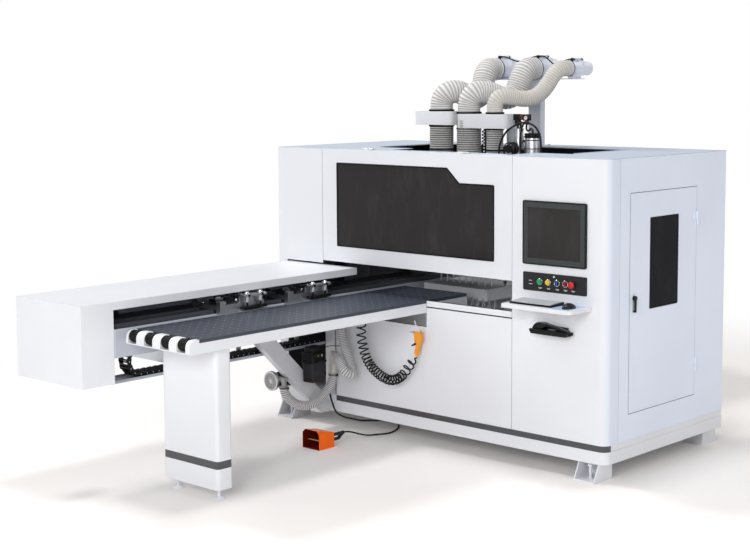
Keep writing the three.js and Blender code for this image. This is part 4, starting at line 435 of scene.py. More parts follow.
def smooth(points, spacing):
    """Evenly spaced points on a curve through the given ones, all in millimetres."""
    given = [Vector(point) for point in points]
    ends = [given[0] * 2 - given[1], *given, given[-1] * 2 - given[-2]]
    fine = []
    for first, start, end, last in zip(ends, ends[1:], ends[2:], ends[3:]):
        knots = [0.0]
        for a, b in ((first, start), (start, end), (end, last)):
            knots.append(knots[-1] + max((b - a).length, 1e-6) ** 0.5)
        t0, t1, t2, t3 = knots
        for step in range(12):
            t = t1 + (t2 - t1) * step / 12
            a1 = first.lerp(start, (t - t0) / (t1 - t0))
            a2 = start.lerp(end, (t - t1) / (t2 - t1))
            a3 = end.lerp(last, (t - t2) / (t3 - t2))
            b1 = a1.lerp(a2, (t - t0) / (t2 - t0))
            b2 = a2.lerp(a3, (t - t1) / (t3 - t1))
            fine.append(b1.lerp(b2, (t - t1) / (t2 - t1)))
    fine.append(given[-1])
    lengths = [0.0]
    for a, b in zip(fine, fine[1:]):
        lengths.append(lengths[-1] + (b - a).length)
    count = max(2, round(lengths[-1] / spacing))
    out = []
    index = 0
    for step in range(count + 1):
        target = lengths[-1] * step / count
        while index < len(fine) - 2 and lengths[index + 1] < target:
            index += 1
        span = lengths[index + 1] - lengths[index]
        out.append(fine[index].lerp(fine[index + 1], (target - lengths[index]) / span if span else 0))
    return out


def length_along(points):
    return sum((b - a).length for a, b in zip(points, points[1:]))


def frames_along(points):
    """A side and an up vector at each point, turned as little as possible."""
    tangents = [
        (points[min(index + 1, len(points) - 1)] - points[max(index - 1, 0)]).normalized()
        for index in range(len(points))
    ]
    side = tangents[0].orthogonal().normalized()
    frames = []
    for tangent in tangents:
        side = (side - tangent * side.dot(tangent)).normalized()
        frames.append((side, tangent.cross(side)))
    return frames


# The two directions across each axis and the one along it
AXES = {"x": (1, 2, 0), "y": (0, 2, 1), "z": (0, 1, 2)}
ORIGIN = (0, 0, 0)
# Least radius of a turned shape, in millimetres
THINNEST = 0.05


def moved(axis, start, *steps):
    """A point moved by two steps across an axis and one along it."""
    spot = list(start)
    for place, step in zip(AXES[axis], steps):
        spot[place] += step
    return spot


def around(count, turn=0.0):
    """Evenly spaced angles of one full turn."""
    return [2 * pi * index / count + turn for index in range(count)]


def turned(axis, centre, profile, sides, turn=0.0):
    """Rings about an axis, one for each pair of the distance along it and the radius."""
    sides = sides or sizes().round_sides
    return [
        [moved(axis, centre, max(radius, THINNEST) * cos(angle), max(radius, THINNEST) * sin(angle), along)
         for angle in around(sides, turn)]
        for along, radius in profile
    ]


def oblong(x0, y0, x1, y1):
    """A rectangle's outline."""
    return [(x0, y0), (x1, y0), (x1, y1), (x0, y1)]


def arc(x, y, radius, start, steps):
    """The points of a quarter turn from an angle in degrees."""
    angles = (radians(start + 90 * step / steps) for step in range(steps + 1))
    return [(x + radius * cos(angle), y + radius * sin(angle)) for angle in angles]


def rounded(x0, y0, x1, y1, radius):
    """A rectangle's outline with round corners."""
    left, right, low, high = x0 + radius, x1 - radius, y0 + radius, y1 - radius
    corners = ((right, low, -90), (right, high, 0), (left, high, 90), (left, low, 180))
    return [point for x, y, start in corners for point in arc(x, y, radius, start, 5)]


class Shape:
    """A piece built up in millimetres from the cabinet's corner, with a finish for each face."""

    def __init__(self, name, *finishes):
        self.name = name
        self.finishes = finishes
        self.mesh = bmesh.new()

    def skin(self, rings, finish=0, loop=False, soft=0):
        """A closed skin over rings of equal size; its sharp edges are rounded by a radius."""
        rows = [[self.mesh.verts.new(at(*point)) for point in ring] for ring in rings]
        made = []
        for first, second in zip(rows, rows[1:] + ([rows[0]] if loop else [])):
            for index in range(len(first)):
                after = (index + 1) % len(first)
                made.append(self.mesh.faces.new((first[index], first[after], second[after], second[index])))
        if not loop:
            made += [self.mesh.faces.new(rows[0][::-1]), self.mesh.faces.new(rows[-1])]
        for face in made:
            face.material_index = finish
        if soft:
            edges = {edge for face in made for edge in face.edges}
            sharp = [edge for edge in edges if edge.calc_face_angle(0) > radians(25)]
            bmesh.ops.recalc_face_normals(self.mesh, faces=made)
            bmesh.ops.bevel(self.mesh, geom=sharp, offset=soft / 1000, segments=2, profile=0.5, affect="EDGES",
                            clamp_overlap=True)
        return self

    def prism(self, axis, outline, start, end, soft=1.0, finish=0):
        """A flat outline drawn out along an axis."""
        rings = [[moved(axis, ORIGIN, *point, depth) for point in outline] for depth in (start, end)]
        return self.skin(rings, finish, False, soft)

    def slab(self, low, high, soft=1.0, finish=0):
        """A box between two corners."""
        return self.prism("z", oblong(*low[:2], *high[:2]), low[2], high[2], soft, finish)

    def frame(self, axis, outline, width, start, end, soft=0.6, finish=0):
        """A closed strip of one width inside a flat outline."""
        flat = [Vector(point) for point in outline]
        after = flat[1:] + flat[:1]
        area = sum(here.x * there.y - there.x * here.y for here, there in zip(flat, after))
        turn = 1 if area > 0 else -1
        rings = []
        for before, here, there in zip(flat[-1:] + flat[:-1], flat, after):
            n1, n2 = (Vector((-way.y, way.x)).normalized() * turn for way in (here - before, there - here))
            inner = here + (n1 + n2) * (width / (1 + n1.dot(n2)))
            corners = ((here, start), (inner, start), (inner, end), (here, end))
            rings.append([moved(axis, ORIGIN, *point, depth) for point, depth in corners])
        return self.skin(rings, finish, True, soft)

    def lathe(self, axis, centre, profile, finish=0, sides=None, turn=0.0):
        """Turned about an axis: pairs of the distance along it and the radius."""
        return self.skin(turned(axis, centre, profile, sides, turn), finish)

    def rod(self, axis, centre, radius, length, soft=1.0, finish=0, sides=None):
        """A round bar with bevelled ends; a negative length points the other way."""
        low, high = sorted((0, length))
        profile = [(low, radius - soft), (low + soft, radius), (high - soft, radius), (high, radius - soft)]
        return self.lathe(axis, centre, profile, finish, sides)

    def ring(self, axis, centre, outer, inner, length, soft=0.8, finish=0, sides=None):
        """A turned ring with a hole through it."""
        section = [(0, inner), (0, outer - soft), (soft, outer), (length - soft, outer), (length, outer - soft),
                   (length, inner)]
        return self.skin(zip(*turned(axis, centre, section, sides)), finish, True)

    def sweep(self, points, radius, finish=0, sides=12):
        """A tube along points; its radius is one number, or a function of the point's index."""
        width = radius if callable(radius) else lambda index: radius
        return self.skin([
            [point + (side * cos(angle) + up * sin(angle)) * width(index) for angle in around(sides)]
            for index, (point, (side, up)) in enumerate(zip(points, frames_along(points)))
        ], finish)

    def bolt(self, axis, centre, radius, height, finish=0):
        """A hexagon head on a washer; a negative height points the other way."""
        washer = height * 0.22
        self.lathe(axis, centre, sorted([(0, radius * 1.35), (washer, radius * 1.3)]), finish, 20)
        start, end = washer * 0.9, height
        profile = [(start, radius), (end - (end - start) * 0.15, radius), (end, radius * 0.86)]
        return self.lathe(axis, centre, profile, finish, 6, 0.3)

    def ready(self, body, *replaced):
        """The finished piece, riding on a body."""
        bmesh.ops.recalc_face_normals(self.mesh, faces=self.mesh.faces[:])
        data = bpy.data.meshes.new(self.name)
        self.mesh.to_mesh(data)
        self.mesh.free()
        for finish in self.finishes:
            data.materials.append(FINISH[finish])
        data.shade_smooth()
        data.set_sharp_from_angle(angle=radians(38))
        piece = bpy.data.objects.new(self.name, data)
        bpy.context.collection.objects.link(piece)
        RECIPES[self.finishes[0]][0]
        if replaced:
            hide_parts(*replaced)
        if body:
            modifier = piece.modifiers.new("even_shading", "WEIGHTED_NORMAL")
            modifier.keep_sharp = True
            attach(piece, body)
        return piece


def ribbed(shape, points, radius, depth, pitch, sides=24):
    """A finely ribbed hose along points; the second finish is for its valleys, a darker tone painted as shade."""
    path = smooth(points, pitch / 4)
    share = (0.0, 0.8, 1.0, 0.8)
    shape.sweep(path, lambda index: radius - depth * (1 - share[index % 4]), 0, sides)
    for index, face in enumerate(list(shape.mesh.faces)[:-2]):
        if index // sides % 4 in (0, 3):
            face.material_index = 1


def stage_floor():
    """A pale floor that keeps the machine's shadow and turns plain white further out."""
    bpy.ops.mesh.primitive_plane_add(size=60, location=(0, 0, 0))
    floor = bpy.context.object
    floor.name = "floor"
    ink = Ink("floor_pale", (0.93, 0.90, 0.88), 0.9, 0.1, {"Emission Color": (1, 0.95, 0.91, 1)})
    rays = [ink.node("LightPath", output=kind) for kind in ("Is Camera Ray", "Is Glossy Ray")]
    seen = rays[0].sum("MAXIMUM", *rays)
    ink.set("Emission Strength", seen * 0.04)
    far = ink.node("VectorMath", {"operation": "LENGTH"}, {0: ink.stretch(1, 0.75, 1)}, "Value").ramp(2.4, 4.6)
    white = ink.node("Emission", None, {"Color": (1, 1, 1), "Strength": 1.0})
    mixed = ink.node("MixShader", None, {0: far * seen, 1: Wire(ink, ink.shader.outputs[0]), 2: white})
    ink.feed(ink.tree.nodes["Material Output"].inputs["Surface"], mixed)
    floor.data.materials.append(ink.material)


# Strength of the white room as a light
AMBIENT = 0.30


def stage_world():
    """White behind the machine, and a weaker white as its light."""
    world = bpy.data.worlds.new("pale_room")
    bpy.context.scene.world = world
    world.use_nodes = True
    tree = world.node_tree
    background = tree.nodes["Background"]
    background.inputs["Color"].default_value = (1, 1, 1, 1)
    path, seen, span = (tree.nodes.new("ShaderNode" + kind) for kind in ("LightPath", "Math", "MapRange"))
    seen.operation = "MAXIMUM"
    span.inputs["To Min"].default_value = AMBIENT
    for index, kind in enumerate(("Is Camera Ray", "Is Transmission Ray")):
        tree.links.new(path.outputs[kind], seen.inputs[index])
    tree.links.new(seen.outputs[0], span.inputs["Value"])
    tree.links.new(span.outputs[0], background.inputs["Strength"])


# Each lamp's place and aim in metres, its size and its power
LAMPS = {
    "key": ((4, -9, 4), (0, -0.5, 1.1), 4, 430),
    "side": ((9, 1, 4), (0.5, 0, 1.0), 4, 110),
    "fill": ((-7, -6, 5), (0, -0.8, 0.8), 5, 130),
    "back": ((1, 8, 6), (0, 0.5, 1.0), 5, 90),
    "overhead": ((0, -0.4, 14), (0, -0.4, 0), 3, 560),
    "left": ((-9, -2, 11), (-0.6, -0.8, 0.4), 2.5, 620),
}
# The photograph's view, fitted to it: degrees, millimetres and pixels
CAMERA_TURN, CAMERA_PLACE = (-42.91, 6.05, -0.37), (7698.2, -7270.6, 2430.7)
FOCAL_PIXELS, PHOTO_WIDTH, SENSOR_WIDTH = 1478.12, 750, 36


def stage_lamps():
    """Round soft lamps on every side of the machine."""
    for name, (place, aim, size, power) in LAMPS.items():
        data = bpy.data.lights.new(name, "AREA")
        data.shape = "DISK"
        data.size = size
        data.energy = power
        lamp = bpy.data.objects.new(name, data)
        lamp.location = place
        lamp.rotation_euler = (Vector(aim) - Vector(place)).to_track_quat("-Z", "Y").to_euler()
        bpy.context.collection.objects.link(lamp)


def stage_camera():
    """The photograph's view: its place, its turn and its focal length."""
    yaw, pitch, roll = (radians(angle) for angle in CAMERA_TURN)
    forward = Vector((sin(yaw) * cos(pitch), cos(yaw) * cos(pitch), -sin(pitch)))
    level = Vector((cos(yaw), -sin(yaw), 0))
    up = level.cross(forward)
    right = cos(roll) * level + sin(roll) * up
    turn = Matrix((right, cos(roll) * up - sin(roll) * level, -forward)).transposed()
    data = bpy.data.cameras.new("camera")
    data.sensor_width = SENSOR_WIDTH
    data.lens = FOCAL_PIXELS * SENSOR_WIDTH / PHOTO_WIDTH
    data.shift_y = -0.06
    data.clip_end = 100
    camera = bpy.data.objects.new("camera", data)
    bpy.context.collection.objects.link(camera)
    camera.matrix_world = Matrix.Translation(at(*CAMERA_PLACE)) @ turn.to_4x4()
    bpy.context.scene.camera = camera


class MACHINE_OT_stage(bpy.types.Operator):
    """Sets the camera, the lamps and the pale floor"""

    bl_idname = "machine.stage"
    bl_label = "Stage"

    def execute(self, context):
        context.scene.view_settings.view_transform = "Standard"
        stage_camera()
        stage_world()
        stage_floor()
        stage_lamps()
        return {"FINISHED"}


# Routes of the cords and hoses, in millimetres, as in the part's source
CABLE = (
    (937, -320.7, 79), (937, -306.7, 79), (938, -250, 68), (937, -170, 40), (937, -90, 16),
    (950, -5, 7), (984, 72, 7), (966, 168, 7), (892, 284, 7), (800, 348, 7), (712, 334, 7), (640, 280, 7),
    (606, 200, 16), (595, 120, 41), (593, 60, 60), (584, 16, 82), (570, -10, 105), (556, -18, 130),
    (540, -16, 160), (522, -16, 200), (508, -16, 250), (500, -16, 300),
)
CABLE_RADIUS = 5.5
CURL = (
    (872, -62, 893), (874, -62, 852), (870, -62, 805), (866, -62, 762), (862, -62, 720), (865, -62, 672),
    (880, -62, 619), (897, -62, 567), (925, -62, 522), (962, -62, 485), (1008, -62, 454), (1063, -62, 430),
    (1135, -62, 419), (1198, -62, 438), (1243, -61, 471), (1279, -59, 514), (1308, -56, 552),
    (1336, -52, 576), (1352.7, -46, 598), (1352.7, -46, 599),
)
CURL_SHARES = (
    (0, 0), (0.09, 0.14), (0.18, 0.27), (0.27, 0.37), (0.32, 0.41), (0.6, 0.61), (0.87, 0.81), (1, 1),
)
CURL_RADIUS, CURL_TUBE, CURL_TURNS, CURL_STEPS = 30, 5, 28, 20
# Share of the curled hose over which its curls grow at each end
CURL_EASE = 0.05
SUCTION = (
    (484, -432, 345), (484, -432, 332), (484, -429, 316), (485, -423, 298), (490, -390, 252), (500, -345, 216),
    (520, -298, 195), (545, -253, 195), (562, -203, 211), (575, -152, 247), (588, -108, 293), (598, -80, 345),
    (600, -72, 375), (600, -72, 403.3),
)
DRAIN = (
    (672, -62, 804.3), (672, -62, 780), (675, -62, 742), (679, -62, 687), (693, -62, 618), (722, -64, 559),
    (762, -72, 503), (797, -86, 464), (826, -108, 438), (832, -140, 432), (812, -165, 450), (775, -164, 480),
    (732, -148, 504), (692, -128, 522),
)
SUCTION_RADIUS, SUCTION_RIB = 31.4, 3.4
DUCT_X, DUCT_RADIUS, DUCT_Z = (1175, 1512, 1798), (78, 77, 54), 2490
RISERS = ((1107, 500), (1307, 552), (1530, 552))
RACK_TOP = (2204, 2188, 2188)
DUST_MIDDLES = (
    ((1108, 502, 2262), (1116, 507, 2293), (1137, 522, 2322), (1160, 556, 2336), (1177, 600, 2333),
     (1189, 650, 2316), (1198, 700, 2298), (1206, 748, 2292), (1212, 790, 2312), (1211, 818, 2358),
     (1206, 838, 2408), (1201, 858, 2446), (1192, 888, 2474), (1181, 925, 2488)),
    ((1311, 553, 2265), (1321, 557, 2294), (1339, 572, 2321), (1360, 605, 2334), (1384, 650, 2331),
     (1406, 700, 2314), (1430, 745, 2296), (1455, 785, 2292), (1478, 814, 2310), (1494, 835, 2348),
     (1503, 851, 2392), (1510, 870, 2434), (1514, 896, 2468), (1513, 930, 2486)),
    ((1533, 553, 2258), (1545, 560, 2286), (1564, 580, 2303), (1585, 615, 2305), (1608, 655, 2297),
     (1636, 700, 2289), (1668, 745, 2289), (1700, 785, 2306), (1731, 814, 2340), (1756, 838, 2385),
     (1774, 862, 2432), (1787, 892, 2468), (1796, 928, 2486)),
)
AIR_TUBES = (
    ((1721, 588, 2142), (1721, 586, 2106), (1698, 576, 2050), (1686, 565, 1986), (1686, 565, 1899)),
    ((1770, 588, 2122), (1772, 580, 2096), (1800, 560, 2080), (1850, 530, 2096), (1880, 506, 2082),
     (1884, 500, 2066)),
    ((1697, 588, 2118), (1700, 580, 2070), (1730, 560, 2040), (1790, 540, 2010), (1828, 505, 1980)),
    ((1650, 440, 1900), (1660, 440, 1990), (1686, 440, 2041), (1719, 440, 2081), (1777, 440, 2115),
     (1850, 440, 2139), (1915, 440, 2130), (1963, 440, 2099), (1990, 440, 2042), (1994, 440, 1899)),
    ((1858, 440, 2136), (1838, 440, 2097), (1830, 440, 2038), (1831, 440, 1899)),
)
# The button plate's left edge and width, the buttons' height and the radius of their stems
PLATE_X, PLATE_WIDTH, BUTTON_Z, STEM = 2194, 474, 1186, 8.8


def across(table, place):
    """Reads a table of place and value pairs between its rows."""
    for (p0, v0), (p1, v1) in zip(table, table[1:]):
        if place <= p1:
            return v0 + (v1 - v0) * (place - p0) / (p1 - p0)
    return table[-1][1]


def box_of(node):
    """A node's corners in millimetres from the cabinet's corner."""
    return [(corner - CORNER) * 1000 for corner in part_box(node)]


class MACHINE_OT_pedal_cable(bpy.types.Operator):
    """Black lead from the foot pedal round under the cabinet to the post's gland"""

    bl_idname = "machine.pedal_cable"
    bl_label = "Pedal cable"

    def execute(self, context):
        path = smooth(CABLE, 22)
        cable = Shape("pedal_lead", "black_rubber").sweep(path, CABLE_RADIUS, 0, 14).ready("frame", "pedal_cable")
        points = [at(*point) for point in path]
        taper = [(-58, 6.4), (-40, 7.2), (-38, 6.8), (-20, 8.4), (-18, 7.9), (-2, 9.6), (4, 10.4)]
        reliefs = [Shape("gland_taper", "black_rubber").lathe("z", path[-1], taper, 0, 18).ready("frame")]
        points[0]
        length_along(points)
        return {"FINISHED"}


class MACHINE_OT_curly_hose(bpy.types.Operator):
    """Curled black air hose from the table's underside to the gun"""

    bl_idname = "machine.curly_hose"
    bl_label = "Curly hose"

    def execute(self, context):
        axis = smooth(CURL, 2)
        frames = frames_along(axis)
        last = len(axis) - 1
        path = []
        steps = CURL_TURNS * CURL_STEPS
        for index in range(steps + 1):
            turned_share = index / steps
            share = across(CURL_SHARES, turned_share) * last
            low = min(int(share), last - 1)
            centre = axis[low].lerp(axis[low + 1], share - low)
            side, up = frames[min(round(share), last)]
            swell = min(1, min(turned_share, 1 - turned_share) / CURL_EASE)
            angle = 2 * pi * index / CURL_STEPS
            path.append(centre + (side * cos(angle) + up * sin(angle)) * CURL_RADIUS * swell)
        hose = Shape("curled_air_hose", "black_gloss").sweep(path, CURL_TUBE, 0, 10).ready("frame", "air_gun_hose")
        points = [at(*point) for point in path]
        points[0]
        length_along(points)
        return {"FINISHED"}


class MACHINE_OT_suction_hoses(bpy.types.Operator):
    """Milky ribbed suction and drain hoses by the table, with their clips"""

    bl_idname = "machine.suction_hoses"
    bl_label = "Suction hoses"

    def execute(self, context):
        for name, route, node in (("ribbed_suction_hose", SUCTION, "suction_hose"),
                                  ("ribbed_drain_hose", DRAIN, "drain_hose")):
            hose = Shape(name, "hose_clear", "clear_valley")
            ribbed(hose, route, SUCTION_RADIUS, SUCTION_RIB, sizes().small_pitch * 1000)
            hose.ready("frame", node)
        clips = Shape("hose_clips", "dark_steel")
        for x, y, z in ((484, -432, 330), (600, -72, 384), (672, -62, 786)):
            clips.ring("z", (x, y, z), 33.5, 30, 11, 1)
            clips.slab((x + 30, y - 8, z - 1), (x + 44, y + 8, z + 12), 1.2)
            clips.bolt("x", (x + 44, y, z + 5.5), 4.5, 4)
        clips.ready("frame")
        return {"FINISHED"}


class MACHINE_OT_dust_hoses(bpy.types.Operator):
    """Wide cream dust hoses from the head's rack up into the ducts"""

    bl_idname = "machine.dust_hoses"
    bl_label = "Dust hoses"

    def execute(self, context):
        # Crest finish, valley finish with painted shade, rib depth
        cream, tan = ("hose_cream", "cream_valley", 3.6), ("hose_tan", "tan_valley", 2)
        # Below their rack the hoses are wider by these millimetres
        wider = (4, 7, 3)
        for index, ((x, y), radius, z, end) in enumerate(zip(RISERS, DUCT_RADIUS, RACK_TOP, DUCT_X)):
            crest, valley, depth = cream if index < 2 else tan
            route = [(x, y, height) for height in (1905, 2025, z - 60, z - 20, z + 16)]
            route += [*DUST_MIDDLES[index], *((end, mouth_y, DUCT_Z) for mouth_y in (955.3, 985.3, 999.3))]
            hose = Shape(f"ribbed_dust_hose_{index + 1}", crest, valley, "hose_dusty", "dusty_valley")
            ribbed(hose, route, radius + 0.5, depth, sizes().hose_pitch * 1000, 40)
            low, middle, spread = at(0, 0, z - 40).z, at(x, y, 0), 1 + wider[index] / radius
            for vertex in hose.mesh.verts:
                if vertex.co.z < low:
                    vertex.co.xy = middle.xy + (vertex.co.xy - middle.xy) * spread
            for face in hose.mesh.faces:
                if face.calc_center_median().z < low:
                    face.material_index += 2
            piece = hose.ready(None, f"dust_hose_{index + 1}")
            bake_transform(piece)
        return {"FINISHED"}


class MACHINE_OT_ducts(bpy.types.Operator):
    """Three dust ducts with their slide gates, cylinders, cross plate and post"""

    bl_idname = "machine.ducts"
    bl_label = "Dust ducts"

    def execute(self, context):
        body = Shape("duct_pipes", "duct_blue", "black_plastic", "zinc")
        plate_top = DUCT_Z - DUCT_RADIUS[0] + 10
        pipes = list(zip(DUCT_X, DUCT_RADIUS))
        for x, radius in pipes:
            r = radius - 8
            for y, outer, inner, length, soft, finish in (
                (1000, r, r - 4, 240, 0.8, 0), (1000, radius, r - 4, 10, 1.2, 0),
                (1009, radius + 1.2, r - 4, 8, 1, 1), (1140, r + 2.6, r - 1, 7, 2, 0), (1226, r + 2, r - 4, 14, 4, 0),
            ):
                body.ring("y", (x, y, DUCT_Z), outer, inner, length, soft, finish, 56)
            body.slab((x - r * 0.9, 1128, DUCT_Z - r - 6), (x + r * 0.9, 1134, DUCT_Z + r + 6), 1.5)
            body.slab((x - 22, 1040, plate_top - 1), (x + 22, 1130, DUCT_Z - r / 2))
            top = DUCT_Z + r + 14
            for y, thick, length, soft, finish, sides in (
                (1060, 10, 96, 1, 2, 20), (1048, 11, 16, 1.5, 1, 20), (1152, 11, 16, 1.5, 1, 20),
                (1166, 4, 22, 0.6, 2, 12),
            ):
                body.rod("y", (x, y, top), thick, length, soft, finish, sides)
            for y in (1048, 1159):
                body.slab((x - 9, y, DUCT_Z + r - 2), (x + 9, y + 9, top - 2), 1, 1)
            body.slab((x + 8, 1052, top - 4), (x + 20, 1062, top + 7), 1, 1)
        for (xa, ra), (xb, rb) in zip(pipes, pipes[1:]):
            za, zb = DUCT_Z + ra + 10, DUCT_Z + rb + 10
            route = [(xa + 18, 1056, za), (xa + 60, 1056, za - 6), ((xa + xb) / 2, 1052, min(za, zb) - 34),
                     (xb - 50, 1056, zb - 8), (xb - 8, 1058, zb)]
            body.sweep(smooth(route, 14), 4.6, 1, 10)
        body.prism("y", oblong(DUCT_X[0] - 55, plate_top - 6, DUCT_X[2] + 55, plate_top), 1040, 1130, 1.2)
        body.slab((1439, 1045, 1950.4), (1543, 1095, plate_top - 4), 3)
        body.slab((1401, 1007, 1950.4), (1581, 1133, 1958.3), 1.5)
        for x in (1416, 1566):
            for y in (1022, 1118):
                body.bolt("z", (x, y, 1958), 8, 9, 2)
        body.ready("frame", "dust_manifold")
        return {"FINISHED"}


class MACHINE_OT_head_carriage(bpy.types.Operator):
    """Upper head carriage: hose rack, collars, motor, column, canister, regulator and air tubes"""

    bl_idname = "machine.head_carriage"
    bl_label = "Head carriage"

    def execute(self, context):
        white = Shape("hose_rack", "cabinet_white", "zinc")
        for x0, y0, x1, y1, z0, z1 in ((943, 416, 1245, 592, 2112, 2204), (1275, 470, 1675, 611, 2093, 2188)):
            white.prism("z", [(x0, y0), *arc(x1 - 40, y0 + 40, 40, -90, 8), (x1, y1), (x0, y1)], z0, z1, 3)
        white.slab((1000, 629.5, 1200), (1950, 651.5, 1900), 2, 1)
        white.slab((1000, 416, 1888), (1950, 632, 1900), 1.5, 1)
        for x, width in ((1193, 30), (1600, 72)):
            white.slab((x, 590, 1898), (x + width, 648, 2188), 2, 1)
        white.ready("head_carriage", "head_carriage")
        collars = Shape("hose_collars", "black_rubber", "dark_steel")
        for (x, y), hose, top, bottom in zip(RISERS, DUCT_RADIUS, RACK_TOP, (2112, 2093, 2093)):
            radius = hose + 1.6
            for z in (top - 1, bottom - 13):
                collars.ring("z", (x, y, z), radius + 4, radius + 0.8, 14, 1.5, 0, 64)
                for angle in around(28):
                    px, py = x + (radius + 5) * cos(angle), y + (radius + 5) * sin(angle)
                    collars.rod("z", (px, py, z + 2), 3, 10, 0.8, 0, 6)
            collars.slab((x + radius, y - 9, bottom - 12), (x + radius + 18, y + 9, bottom), 1.5, 1)
            collars.ring("z", (x, y, 1940), radius + 4, radius + 0.8, 10, 1.5, 0, 64)
        collars.ready("head_carriage")
        drive = Shape("head_drives", "black_plastic", "steel", "zinc", "cabinet_white")
        motor = [(0, 36), (-4, 43), (-10, 44), (-12, 40), (-18, 40), (-20, 44), (-26, 44), (-28, 40), (-34, 40),
                 (-36, 44), (-50, 44), (-56, 38), (-60, 20)]
        drive.lathe("y", (1742, 484, 1966), motor, 0, 36)
        drive.slab((1719, 426, 1898), (1765, 482, 1940), 2, 2)
        for x in (1724, 1760):
            for z in (1942, 1990):
                drive.bolt("y", (x, 428, z), 4, -5, 1)
        drive.lathe("z", (1747, 532, 1898), [(0, 34), (150, 34), (152, 30), (188, 30), (190, 34), (197, 34)], 1, 36)
        canister = (1884, 500, 1898)
        drive.lathe("z", canister, [(0, 46), (6, 50), (138, 50), (142, 47)], 2, 40)
        cap = [(140, 53), (144, 55), (152, 55), (154, 52), (160, 52), (162, 55), (170, 51), (171, 20)]
        drive.lathe("z", canister, cap, 0, 40)
        for z in (1905, 1965, 2020):
            drive.ring("z", (*canister[:2], z), 51.5, 49, 6, 1, 0, 40)
        for x in (1806, 1676):
            drive.slab((x, 470, 1899), (x + 44, 540, 1960), 4)
            drive.rod("z", (x + 22, 505, 1958), 14, 26, 2, 2, 20)
        drive.slab((1442, 540, 1899), (1466, 580, 2088), 3)
        for z in range(1908, 2080, 22):
            drive.slab((1434, 532, z), (1474, 588, z + 14), 3)
            drive.rod("y", (1454, 532, z + 7), 5, -1.5, 0.4, 3, 12)
        drive.ready("head_carriage")
        air = Shape("air_regulator", "black_plastic", "dark_red", "white_plastic")
        air.slab((1673, 565, 2150), (1722, 611, 2188), 3)
        air.rod("z", (1697, 588, 2116), 21, 36, 3, 0, 24)
        air.slab((1722, 570, 2156), (1752, 606, 2184), 3, 1)
        air.slab((1752, 567, 2146), (1788, 611, 2188), 3)
        air.rod("z", (1770, 588, 2120), 15, 28, 3, 1, 24)
        gauge = (1788, 551, 2165)
        air.lathe("y", gauge, [(23, 8), (20, 16), (2, 17), (0, 15.5)], 0, 32)
        air.lathe("y", gauge, [(1, 14), (-0.8, 13.5)], 2, 32)
        air.slab((1787, 549.6, 2164), (1789, 550.6, 2175), 0.2)
        for route in AIR_TUBES:
            air.sweep(smooth(route, 10), 6.5, 0, 12)
        air.ready("head_carriage")
        rails = Shape("head_rail_blocks", "dark_steel")
        for x in (1000, 1860):
            for z in (1440, 1600):
                rails.slab((x, 620, z - 31), (x + 90, 652, z + 31), 2)
        rails.ready("head_carriage")
        return {"FINISHED"}


class MACHINE_OT_window(bpy.types.Operator):
    """Rubber gasket round the tinted window of the front cover"""

    bl_idname = "machine.window"
    bl_label = "Window"

    def execute(self, context):
        outline = [(583, 1280), (1959, 1280), (1959, 1759), (1676, 1759), (1574, 1854), (583, 1854)]
        gasket = Shape("window_gasket", "black_rubber")
        gasket.frame("y", outline, sizes().gasket * 1000, -3.2, 2.4, 0.8)
        gasket.ready("window_cover")
        return {"FINISHED"}


class MACHINE_OT_side_door(bpy.types.Operator):
    """Dark glass, gasket lines and lock plate of the side door"""

    bl_idname = "machine.side_door"
    bl_label = "Side door"

    def execute(self, context):
        pane = Shape("side_door_glass", "glass_black", "black_rubber")
        outline = rounded(461, 1010, 786, 1575, 10)
        pane.prism("x", outline, 2808.7, 2809.7, 0.4)
        pane.frame("x", outline, 7, 2808.8, 2811.0, 0.5, 1)
        pane.ready("side_door")
        lines = Shape("door_gasket_lines", "black_rubber")
        for low, high in (((237.6, 1734.4), (2810.4, 1004.2, 1737.2)), ((237.8, 386.2), (2810.2, 240.8, 1736)),
                          ((239, 385.8), (2810.2, 1003, 388.6))):
            lines.slab((2806, *low), high, 0)
        lines.ready("frame")
        lock = Shape("door_lock_plate", "zinc", "black_plastic")
        lock.prism("x", rounded(272, 1002, 298, 1124, 8), 2810.3, 2813, 0.8)
        lock.rod("x", (2811, 285, 1016), 6, 4.5, 0.8, 1, 20)
        lock.ready("side_door")
        return {"FINISHED"}


class MACHINE_OT_monitor(bpy.types.Operator):
    """Panel screen: dark rim, grey bezel and the glass"""

    bl_idname = "machine.monitor"
    bl_label = "Monitor"

    def execute(self, context):
        screen = Shape("panel_screen", "bezel", "black_plastic", "screen")
        screen.prism("y", rounded(2193, 1288, 2666, 1681, 12), -12.5, -0.3, 2, 1)
        screen.frame("y", oblong(2203, 1297, 2656, 1672), 31, -14, -11, 1.2)
        screen.prism("y", rounded(2232, 1326, 2627, 1644, 4), -13.0, -11.5, 0.4, 2)
        screen.slab((2236.5, 0.1, 1326.5), (2622.5, 46, 1642.5), 2, 1)
        screen.ready("frame", "monitor")
        return {"FINISHED"}


